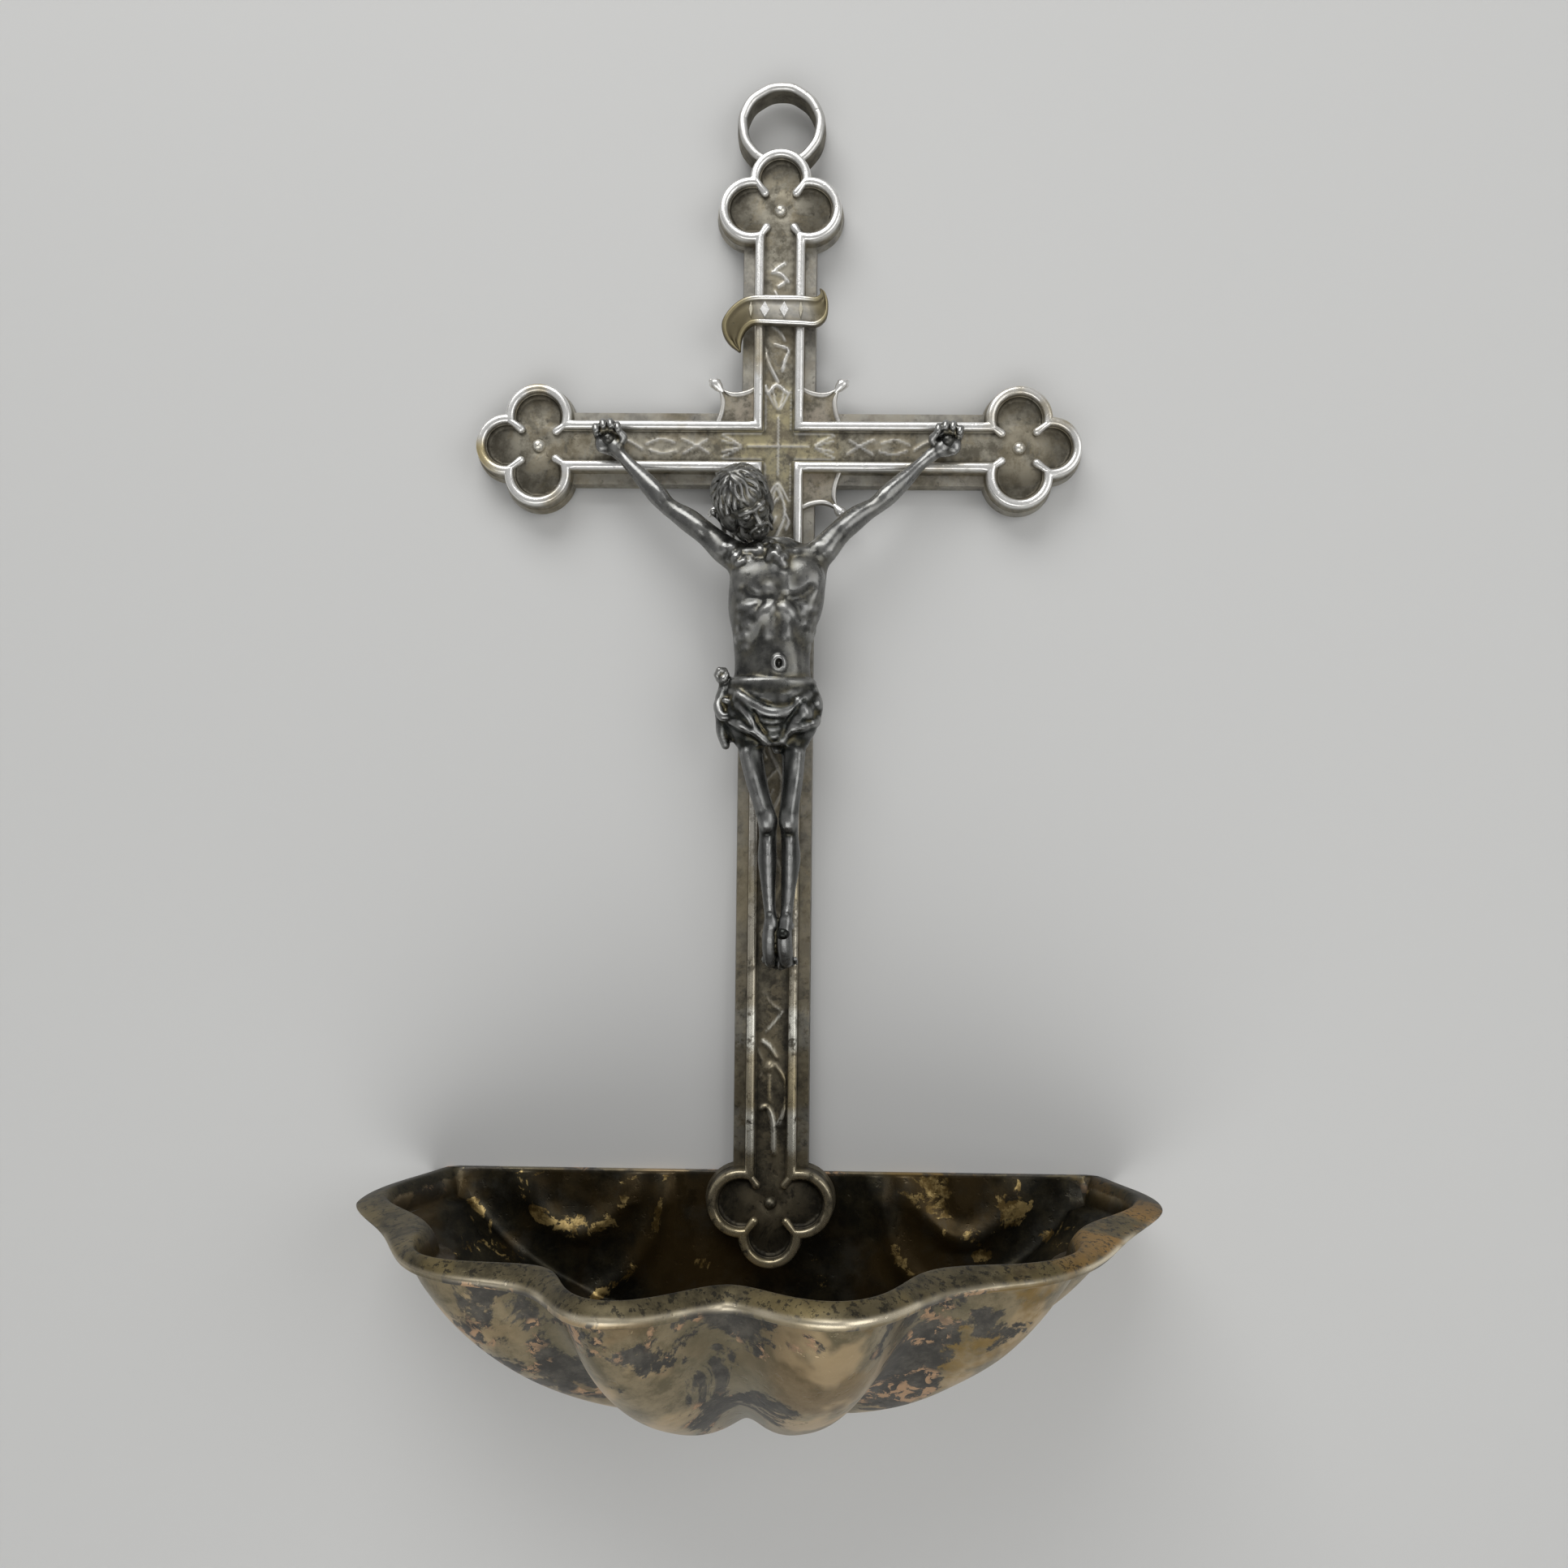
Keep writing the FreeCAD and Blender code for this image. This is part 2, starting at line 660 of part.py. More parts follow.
def head():
    """Head, hair and neck, leaning to the viewer's left with the chin to the right."""
    half = size("headHalf")
    tall = size("headHeight")
    lean = math.radians(size("headLean"))
    bow = math.radians(size("headBow"))
    middle = spot(size("headShift"), size("headForward"), size("headDrop"))
    level = math.cos(bow)
    down = Vector(math.sin(lean) * level, math.sin(bow), -math.cos(lean) * level)
    # share of the head's height below its middle, half width, half depth
    skull = [
        (-0.50, 0.35, 0.35),
        (-0.42, 0.78, 0.72),
        (-0.22, 1.08, 1.02),
        (0.05, 1.06, 1.08),
        (0.28, 0.86, 0.98),
        (0.46, 0.56, 0.74),
        (0.54, 0.28, 0.40),
    ]
    solids = [limb([(middle + down * (tall * s), w * half, d * half) for s, w, d in skull])]
    collar = spot(-0.6, 4.4, size("shoulderDrop") + 1.5)
    nape = middle + down * (0.25 * tall) + Vector(0, 1.6, 0)
    neck = [(nape, 0.56 * half, 0.60 * half), (collar, 0.62 * half, 0.62 * half)]
    solids.append(limb([neck[0], ((nape + collar) * 0.5, 0.54 * half, 0.56 * half), neck[1]]))
    for side, reach in ((-1, 0.66), (1, 0.78)):
        top = middle + Vector(side * 0.62 * half, 1.4, -0.06 * tall)
        low = top + Vector(0.35 * half - side * 0.8, 1.4, -reach * tall)
        lock = [(top, 0.34 * half, 0.42 * half), (low, 0.22 * half, 0.26 * half)]
        solids.append(limb([lock[0], ((top + low) * 0.5, 0.36 * half, 0.40 * half), lock[1]]))
    return solids


def loincloth():
    hips = size("hipHalf")
    depth = size("chestDepth")
    hip = size("hipDrop")
    # drop from the hips, half width, half depth
    levels = [(-7.2, 0.90, 0.47), (-5.4, 0.99, 0.53), (0.0, 1.06, 0.55), (5.0, 1.03, 0.53)]
    stations = []
    for drop, wide, deep in levels:
        centre = spot(-0.6, 0.42 * depth, hip + drop)
        stations.append((centre, wide * hips, deep * depth))
    knot = spot(-hips - 0.8, 0.45 * depth, hip - 4.0)
    fall = [
        (knot + Vector(0.4, 0, 2.2), 0.7, 0.8),
        (knot, 1.9, 1.8),
        (knot - Vector(0.2, 0, 3.6), 1.5, 1.5),
        (knot - Vector(-0.4, 0, 9.4), 1.5, 1.6),
    ]
    return [limb(stations), limb(fall)]


def half_space(start, reach):
    """Everything further back than the given Y, as a box out to the reach."""
    corner = Vector(-reach, start, -size("crossDrop") - size("footReach") - 2 * reach)
    return Part.makeBox(2 * reach, reach, 6 * reach, corner)


def corpus():
    """The whole casting, flat at its back and drilled for its three pins."""
    solids = [torso()] + loincloth() + head()
    for side in (-1, 1):
        solids += arm(side) + leg(side)
    whole = solids[0].multiFuse(solids[1:])
    deep = size("footReach")
    whole = whole.cut(half_space(-FRONT_FACE, deep))
    radius = size("pinShank") + size("holeClearance")
    forward = Vector(0, -1, 0)
    for side, reach in ((-1, size("handSpan")), (1, size("handSpan"))):
        start = Vector(side * reach, 0, size("handRise") - size("crossDrop"))
        whole = whole.cut(Part.makeCylinder(radius, deep, start, forward))
    start = Vector(size("footPinShift"), 0, -size("crossDrop") - size("footPinDrop"))
    whole = whole.cut(Part.makeCylinder(radius, deep, start, forward))
    # the pins' heads sit in flats faced on the hands and feet
    seats = [(size("footPinShift"), size("footPinDrop"), size("footThickness"))]
    for side in (-1, 1):
        seats.append((side * size("handSpan"), -size("handRise"), size("handThickness")))
    for across, drop, thick in seats:
        start = spot(across, thick, drop)
        whole = whole.cut(Part.makeCylinder(size("pinHead") + 0.05, deep, start, forward))
    return whole


figure = keep(doc.addObject("Part::Feature", "Corpus"), "corpus")
figure.Shape = corpus()


# ---- Shell basin -------------------------------------------------------------------
TURN = math.tan(math.radians(size("leanAngle")))
LIP_HALF = size("basinHalf") + size("lipSideWidth")


def flute(angle, deep, side_deep):
    """Depth of the groove at an angle from the front, in radians: none at the back."""
    off = abs((angle + math.pi) % (2 * math.pi) - math.pi)
    wave = 0.5 + 0.5 * math.cos(off * 2 * math.pi / math.radians(size("fluteAngle")))
    side = min(off / math.radians(50), 1)
    end = math.radians(size("fluteEndAngle"))
    fade = min(max((end - off) / (end - math.radians(size("fluteFadeAngle"))), 0), 1)
    return wave * fade * between(deep, side_deep, side)


def plan(half, reach, power, left_power, deep, side_deep, keel=0, scale=1, grow=0, taper=0):
    """One level of the basin: distances from the flute centre at even angles."""
    radii = []
    for index in range(PLAN_POINTS):
        angle = 2 * math.pi * index / PLAN_POINTS  # from the front, towards +X
        across = abs(math.sin(angle))
        ahead = math.cos(angle)
        front = reach if ahead > 0 else size("basinBack")
        bulge = power if math.sin(angle) > 0 else left_power
        if ahead <= 0:
            bulge = 2
        radius = ((across / half) ** bulge + (abs(ahead) / front) ** bulge) ** (-1 / bulge)
        groove = flute(angle, deep, side_deep)
        extra = flute(angle, keel, keel)
        narrow = 1 - taper * across * across if ahead > 0 else 1 - taper
        radii.append((angle, (radius - groove) * scale * narrow - extra + grow))
    return radii


def level(radii, height):
    """The closed curve of one level, leaning to the left towards the front."""
    points = []
    for angle, radius in radii:
        across = radius * math.sin(angle)
        ahead = size("basinCentre") + radius * math.cos(angle)
        leaned = across - ahead * TURN
        ahead = ahead * (1 - TURN * across / LIP_HALF)
        points.append(Vector(leaned, -ahead, RIM + height))
    return closed_curve(points)


RIM = -size("crossDrop") - size("footReach") + size("rimRise")
INNER = (
    size("basinHalf"),
    size("basinReach"),
    size("basinPower"),
    size("basinPowerLeft"),
    size("fluteDepth"),
    size("fluteSideDepth"),
)
LIP = (
    LIP_HALF,
    size("basinReach") + size("lipFrontWidth"),
    size("lipPower"),
    size("lipPowerLeft"),
    size("lipFluteDepth"),
    size("lipFluteSideDepth"),
)


def bowl_plan(share, grow):
    """The bowl's plan at a share of its depth, elliptical in height."""
    floor = size("basinFloorHalf")
    scale = math.sqrt(1 - share ** size("basinBulge") * (1 - floor * floor))
    keel = size("fluteKeel") * share * share
    taper = size("basinTaper") * share
    return plan(*INNER, keel=keel, scale=scale, grow=grow, taper=taper)


def hull(depth, top, grow):
    """A closed fluted bowl, from its floor to a level above the rim."""
    wires = []
    for share in (0.0, 0.25, 0.48, 0.68, 0.83, 0.93, 1.0):
        wires.append(level(bowl_plan(share, grow), -depth * share))
    if top > 0:
        wires.insert(0, level(bowl_plan(0, grow), top))
    return Part.makeLoft(wires, True)


def lip():
    """The rim's turned-out lip, whose underside sweeps down into the bowl's wall."""
    droop = size("lipDroop")
    thick = size("lipThickness")
    foot = size("lipFoot")
    outer = plan(*LIP)
    # share of the way from the middle of the bowl's wall to the lip's edge, height
    under = [(0.0, -thick - foot), (0.18, -thick - 0.45 * foot), (0.36, -thick - 0.15 * foot)]
    under += [(0.64, -thick - 0.7), (0.95, -thick - droop)]
    over = [(1.0, -droop - 0.3), (0.93, -droop + 0.6), (0.55, -0.45), (0.25, 0.0)]
    wires = []
    for share, height in under + over:
        inner = bowl_plan(0, 0)
        if (share, height) in under:
            inner = bowl_plan(-height / size("basinDepth"), 0.5 * size("basinWall"))
        radii = []
        for (angle, low), (_, high) in zip(inner, outer):
            radii.append((angle, low + (high - low) * share))
        wires.append(level(radii, height))
    return Part.makeLoft(wires, True, True)


def basin():
    """The shell: a fluted bowl and its lip, hollowed, and cut off flat along the wall."""
    wall = size("basinWall")
    depth = size("basinDepth")
    reach = 2 * LIP_HALF
    solid = hull(depth, 0, wall).fuse(lip())
    solid = solid.cut(half_space(wall, reach))
    cavity = hull(depth - wall, 1.0, 0.0).cut(half_space(0, reach))
    start = Vector(0, wall, -size("crossDrop") - size("footReach"))
    radius = size("rivetShank") + size("holeClearance")
    sink = 0.6 * size("rivetShank")
    forward = Vector(0, -1, 0)
    bore = Part.makeCylinder(radius, 2 * wall, start, forward)
    countersink = Part.makeCone(radius + sink, radius, sink, start, forward)
    return solid.cut(cavity).cut(bore.fuse(countersink))


shell = keep(doc.addObject("Part::Feature", "Basin"), "shell_bowl")
shell.Shape = basin()

doc.recompute()
for item in doc.Objects:
    if "Invalid" in item.State or "Error" in item.State:
        raise RuntimeError("%s did not build: %s" % (item.Label, item.State))
os.makedirs("parts", exist_ok=True)
for item in parts:
    shape = item.Shape
    if shape.isNull() or not shape.isValid() or shape.Volume <= 0:
        raise RuntimeError("%s has no valid shape" % item.Label)
    print("%-20s %d solid(s) %9.1f mm3" % (item.Label, len(shape.Solids), shape.Volume))
    shape.exportStep("parts/%s.step" % item.Label)
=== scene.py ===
import math

import bmesh
import bpy
import numpy as np
from mathutils import Matrix, Vector, geometry, kdtree


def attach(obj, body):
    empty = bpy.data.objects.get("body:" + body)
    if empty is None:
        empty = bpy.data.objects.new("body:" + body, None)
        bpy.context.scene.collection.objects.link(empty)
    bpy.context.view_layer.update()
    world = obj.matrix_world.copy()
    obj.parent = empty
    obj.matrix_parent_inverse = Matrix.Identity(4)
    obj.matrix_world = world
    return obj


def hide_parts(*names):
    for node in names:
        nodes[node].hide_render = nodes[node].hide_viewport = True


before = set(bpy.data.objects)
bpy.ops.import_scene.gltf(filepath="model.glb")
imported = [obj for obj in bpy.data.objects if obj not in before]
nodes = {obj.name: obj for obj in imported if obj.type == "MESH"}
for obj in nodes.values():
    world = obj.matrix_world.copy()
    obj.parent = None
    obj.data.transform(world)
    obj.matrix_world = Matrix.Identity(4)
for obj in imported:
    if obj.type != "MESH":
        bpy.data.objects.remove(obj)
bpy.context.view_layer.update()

mm = 0.001
print("frame loaded")

# The layout, in mm. X runs across, Y back into the wall and Z up, from the ring's centre.
layout = {
    "crossing": -61.3,
    "plateFront": -2.2,
    "frameFront": -5.2,
    "rim": -196.4,
}


# Small helpers.
def tone(red, green, blue):
    # A colour written as it should look, 0 to 255, as the linear value a socket takes.
    out = []
    for value in (red, green, blue):
        share = value / 255
        out.append(share / 12.92 if share <= 0.04045 else ((share + 0.055) / 1.055) ** 2.4)
    return (*out, 1.0)


def gridFaces(rows, cols, wrap=True):
    row = np.arange(rows - 1)[:, None]
    col = np.arange(cols if wrap else cols - 1)[None, :]
    after = (col + 1) % cols
    quads = [row * cols + col, row * cols + after, (row + 1) * cols + after, (row + 1) * cols + col]
    return np.stack([quad.ravel() for quad in np.broadcast_arrays(*quads)], axis=1)


def addMesh(name, verts, faces, smooth=True):
    mesh = bpy.data.meshes.new(name)
    mesh.from_pydata((np.asarray(verts, float) * mm).tolist(), [], [list(map(int, face)) for face in faces])
    mesh.update()
    mesh.polygons.foreach_set("use_smooth", [smooth] * len(mesh.polygons))
    piece = bpy.data.objects.new(name, mesh)
    bpy.context.scene.collection.objects.link(piece)
    return piece


def setValues(piece, name, values):
    layer = piece.data.attributes.new(name, "FLOAT", "POINT")
    layer.data.foreach_set("value", np.asarray(values, np.float32))


def fixNormals(piece):
    work = bmesh.new()
    work.from_mesh(piece.data)
    bmesh.ops.recalc_face_normals(work, faces=work.faces)
    work.to_mesh(piece.data)
    work.free()


def finishPiece(piece, material, slotName, *replaced):
    piece.data.materials.clear()
    piece.data.materials.append(material)
    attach(piece, "root")
    if replaced:
        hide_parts(*replaced)
    return piece


def blendTo(value, low, high):
    share = np.clip((value - low) / (high - low), 0, 1)
    return share * share * (3 - 2 * share)


def smoothPath(points, count):
    # A Catmull-Rom line through the points, each of which may carry more values.
    points = np.asarray(points, float)
    if len(points) < 3:
        share = np.linspace(0, 1, count)[:, None]
        return points[0] * (1 - share) + points[-1] * share
    ends = np.vstack([2 * points[0] - points[1], points, 2 * points[-1] - points[-2]])
    spots = np.linspace(0, len(points) - 1, count)
    index = np.minimum(spots.astype(int), len(points) - 2)
    t = (spots - index)[:, None]
    a, b, c, d = (ends[index + step] for step in range(4))
    return 0.5 * (2 * b + (c - a) * t + (2 * a - 5 * b + 4 * c - d) * t**2 + (3 * b - a - 3 * c + d) * t**3)


# Shader helpers.
def feed(tree, made, inputs):
    # Each input takes a value, or a link where a socket is given.
    for key, value in inputs.items():
        if isinstance(value, bpy.types.NodeSocket):
            tree.links.new(value, made.inputs[key])
        else:
            made.inputs[key].default_value = value
    return made


def put(tree, kind, inputs=None, **settings):
    made = tree.nodes.new("ShaderNode" + kind)
    for key, value in settings.items():
        setattr(made, key, value)
    return feed(tree, made, inputs or {})


def calc(tree, operation, *values, clamp=False):
    inputs = dict(enumerate(values))
    return put(tree, "Math", inputs, operation=operation, use_clamp=clamp).outputs[0]


def times(tree, first, *others):
    for value in others:
        first = calc(tree, "MULTIPLY", first, value)
    return first


def spread(tree, value, low, high, first=0.0, last=1.0, soft=True):
    inputs = {0: value, 1: low, 2: high, 3: first, 4: last}
    kind = "SMOOTHSTEP" if soft else "LINEAR"
    return put(tree, "MapRange", inputs, interpolation_type=kind).outputs[0]


def mixColour(tree, factor, first, second):
    inputs = {0: factor, 6: first, 7: second}
    return put(tree, "Mix", inputs, data_type="RGBA").outputs[2]


def noiseMask(tree, place, size, detail=4.0, rough=0.6):
    # Fractal noise whose largest features are about the given size in mm.
    inputs = {"Vector": place, "Scale": 1000.0 / size, "Detail": detail, "Roughness": rough}
    return put(tree, "TexNoise", inputs).outputs[0]


def makeGroup(name, inputs, outputs):
    tree = bpy.data.node_groups.new(name, "ShaderNodeTree")
    for label, kind, value in inputs:
        socket = tree.interface.new_socket(label, in_out="INPUT", socket_type=kind)
        if value is not None:
            socket.default_value = value
    for label, kind in outputs:
        tree.interface.new_socket(label, in_out="OUTPUT", socket_type=kind)
    start = tree.nodes.new("NodeGroupInput")
    end = tree.nodes.new("NodeGroupOutput")
    return tree, start, end


def useGroup(tree, group, **inputs):
    return put(tree, "Group", inputs, node_tree=group)


def newMaterial(name):
    material = bpy.data.materials.new(name)
    material.use_nodes = True
    tree = material.node_tree
    tree.nodes.clear()
    out = tree.nodes.new("ShaderNodeOutputMaterial")
    shader = tree.nodes.new("ShaderNodeBsdfPrincipled")
    tree.links.new(shader.outputs[0], out.inputs[0])
    place = tree.nodes.new("ShaderNodeTexCoord").outputs["Object"]
    return material, tree, shader, place


# Where a point lies on the stoup, in mm.
placeGroup, start, end = makeGroup(
    "stoupPlace",
    [("Place", "NodeSocketVector", None)],
    [("Across", "NodeSocketFloat"), ("Forward", "NodeSocketFloat"), ("Height", "NodeSocketFloat")],
)
parted = put(placeGroup, "SeparateXYZ", {0: start.outputs[0]})
for index, factor in enumerate((1000.0, -1000.0, 1000.0)):
    placeGroup.links.new(times(placeGroup, parted.outputs[index], factor), end.inputs[index])

# The fine pitted skin that old cast metal has.
grainGroup, start, end = makeGroup(
    "castGrain",
    [("Place", "NodeSocketVector", None), ("Pits", "NodeSocketFloat", 0.5)],
    [("Height", "NodeSocketFloat"), ("Specks", "NodeSocketFloat")],
)
fine = noiseMask(grainGroup, start.outputs[0], 0.9, 5.0, 0.7)
broad = noiseMask(grainGroup, start.outputs[0], 6.0, 3.0, 0.5)
pits = spread(grainGroup, noiseMask(grainGroup, start.outputs[0], 1.7, 3.0, 0.6), 0.28, 0.40)
pitted = times(grainGroup, calc(grainGroup, "SUBTRACT", 1.0, pits), start.outputs[1])
height = calc(grainGroup, "ADD", times(grainGroup, fine, 0.5), times(grainGroup, broad, 0.6))
grainGroup.links.new(calc(grainGroup, "SUBTRACT", height, pitted), end.inputs[0])
grainGroup.links.new(pitted, end.inputs[1])

# Patches where a finish has worn through, with crisp ragged edges. Bias moves them onto high points.
wearGroup, start, end = makeGroup(
    "wornPatches",
    [
        ("Place", "NodeSocketVector", None), ("Bias", "NodeSocketFloat", 0.0),
        ("Size", "NodeSocketFloat", 10.0),
    ],
    [("Mask", "NodeSocketFloat")],
)
scale = calc(wearGroup, "DIVIDE", 1000.0, start.outputs[2])
inputs = {"Vector": start.outputs[0], "Scale": scale, "Detail": 9.0, "Roughness": 0.68, "Distortion": 0.5}
worn = calc(wearGroup, "ADD", put(wearGroup, "TexNoise", inputs).outputs[0], start.outputs[1])
wearGroup.links.new(spread(wearGroup, worn, 0.49, 0.53), end.inputs[0])


def finishMetal(tree, shader, colour, rough, metallic, height, depth):
    bump = put(tree, "Bump", {"Height": height, "Distance": depth * mm}).outputs[0]
    feed(tree, shader, {"Base Color": colour, "Roughness": rough, "Metallic": metallic, "Normal": bump})


def attribute(tree, name):
    return put(tree, "Attribute", attribute_name=name).outputs["Fac"]


# The metals.
def silveredBrass(name, polished, paintedShade=0.0, warm=tone(164, 150, 136)):
    # polished: "attribute" where a piece carries its own values, a constant, or how far forward
    # the polish starts, where it is full and how strong it is there.
    material, tree, shader, place = newMaterial(name)
    where = useGroup(tree, placeGroup, Place=place).outputs
    grain = useGroup(tree, grainGroup, Place=place, Pits=0.6).outputs
    worn = useGroup(tree, wearGroup, Place=place, Bias=0.0, Size=7.0).outputs
    # painted light: the ground colours are lighter towards the top and darker low down, where the basin
    # shades the cross
    high = spread(tree, where[2], -190.0, -70.0)
    mottle = noiseMask(tree, place, 3.2, 6.0, 0.7)
    light = mixColour(tree, high, tone(96, 89, 73), tone(150, 145, 131))
    dark = mixColour(tree, high, tone(52, 48, 40), tone(98, 93, 81))
    ground = mixColour(tree, spread(tree, mottle, 0.36, 0.62), dark, light)
    ground = mixColour(tree, times(tree, worn[0], 0.3), ground, tone(146, 134, 108))
    polish = polished
    if polished == "attribute":
        polish = attribute(tree, "polish")
        paintedShade = attribute(tree, "paintedShade")
        olive = attribute(tree, "olive")
        ground = mixColour(tree, times(tree, olive, 0.8), ground, tone(128, 116, 84))
    elif isinstance(polished, tuple):
        polish = times(tree, spread(tree, where[1], polished[0], polished[1]), polished[2])
    # yellow brass shows round the crossing
    rise = calc(tree, "SUBTRACT", where[2], layout["crossing"])
    apart = calc(tree, "ADD", times(tree, where[0], where[0]), times(tree, rise, rise))
    yellow = times(tree, spread(tree, apart, 12.0, 230.0, 0.55, 0.0), spread(tree, mottle, 0.38, 0.60))
    ground = mixColour(tree, yellow, ground, warm)
    # painted shade: darkens towards a shade colour, which is itself lighter towards the top
    shadeTone = mixColour(tree, high, tone(28, 26, 20), tone(56, 52, 43))
    ground = mixColour(tree, times(tree, paintedShade, 0.85), ground, shadeTone)
    # painted highlight: the polish turns near white towards the top. The silver has worn to tan brass in long
    # patches, and to yellow at the left end
    bright = mixColour(tree, high, tone(168, 158, 134), tone(242, 241, 238))
    tan = spread(tree, noiseMask(tree, place, 26.0, 4.0, 0.6), 0.50, 0.60)
    tan = times(tree, tan, spread(tree, where[2], -46.0, -28.0, 0.8, 0.0))
    bright = mixColour(tree, tan, bright, tone(178, 164, 130))
    # two bands low on the shaft turn the polish near white
    streak = calc(tree, "COSINE", times(tree, calc(tree, "ADD", where[2], 169.5), 2 * math.pi / 18.5))
    upper = spread(tree, where[2], -164.0, -158.0, 0.9, 0.0)
    streak = times(tree, spread(tree, streak, -0.1, 0.7), upper, spread(tree, where[2], -198.0, -194.0))
    bright = mixColour(tree, streak, bright, tone(240, 238, 226))
    leftEnd = times(
        tree, spread(tree, where[0], -56.0, -50.0, 1.0, 0.0), spread(tree, rise, -1.0, 2.0, 1.0, 0.0),
    )
    bright = mixColour(tree, times(tree, leftEnd, 0.8), bright, tone(196, 174, 104))
    if polished == "attribute":
        bright = mixColour(tree, times(tree, olive, 0.85), bright, tone(184, 172, 124))
    # the polish is broken up by wear, but kept whole towards the top as painted highlight
    broken = spread(tree, noiseMask(tree, place, 2.2, 5.0, 0.7), 0.34, 0.52)
    polishKeptAndLit = calc(tree, "MAXIMUM", broken, times(tree, high, 0.9))
    polish = calc(tree, "MULTIPLY", polish, polishKeptAndLit, clamp=True)
    colour = mixColour(tree, polish, ground, bright)
    speck = times(tree, grain[1], spread(tree, polish, 0.0, 1.0, 0.7, 0.12))
    colour = mixColour(tree, speck, colour, tone(38, 35, 30))
    rough = spread(tree, polish, 0.0, 1.0, 0.52, 0.26)
    finishMetal(tree, shader, colour, rough, 0.75, grain[0], 0.04)
    return material


def blackenedSilver(name, attributes=True):
    material, tree, shader, place = newMaterial(name)
    where = useGroup(tree, placeGroup, Place=place).outputs
    grain = useGroup(tree, grainGroup, Place=place, Pits=0.35).outputs
    mottle = noiseMask(tree, place, 4.0, 6.0, 0.65)
    colour = mixColour(tree, spread(tree, mottle, 0.35, 0.65), tone(74, 74, 72), tone(112, 111, 105))
    # painted shade: darker from the hips down, over the legs and feet
    below = spread(tree, where[2], -112.0, -104.0, 0.85, 0.0)
    colour = mixColour(tree, below, colour, tone(33, 36, 34))
    if attributes:
        high = attribute(tree, "high")
        hollow = attribute(tree, "hollow")
        residue = times(tree, hollow, spread(tree, mottle, 0.40, 0.60))
        colour = mixColour(tree, times(tree, residue, 0.6), colour, tone(118, 108, 78))
        colour = mixColour(tree, times(tree, high, 0.55), colour, tone(190, 190, 188))
    rough = spread(tree, noiseMask(tree, place, 2.0, 5.0), 0.3, 0.7, 0.20, 0.38)
    finishMetal(tree, shader, colour, rough, 0.9, grain[0], 0.035)
    return material


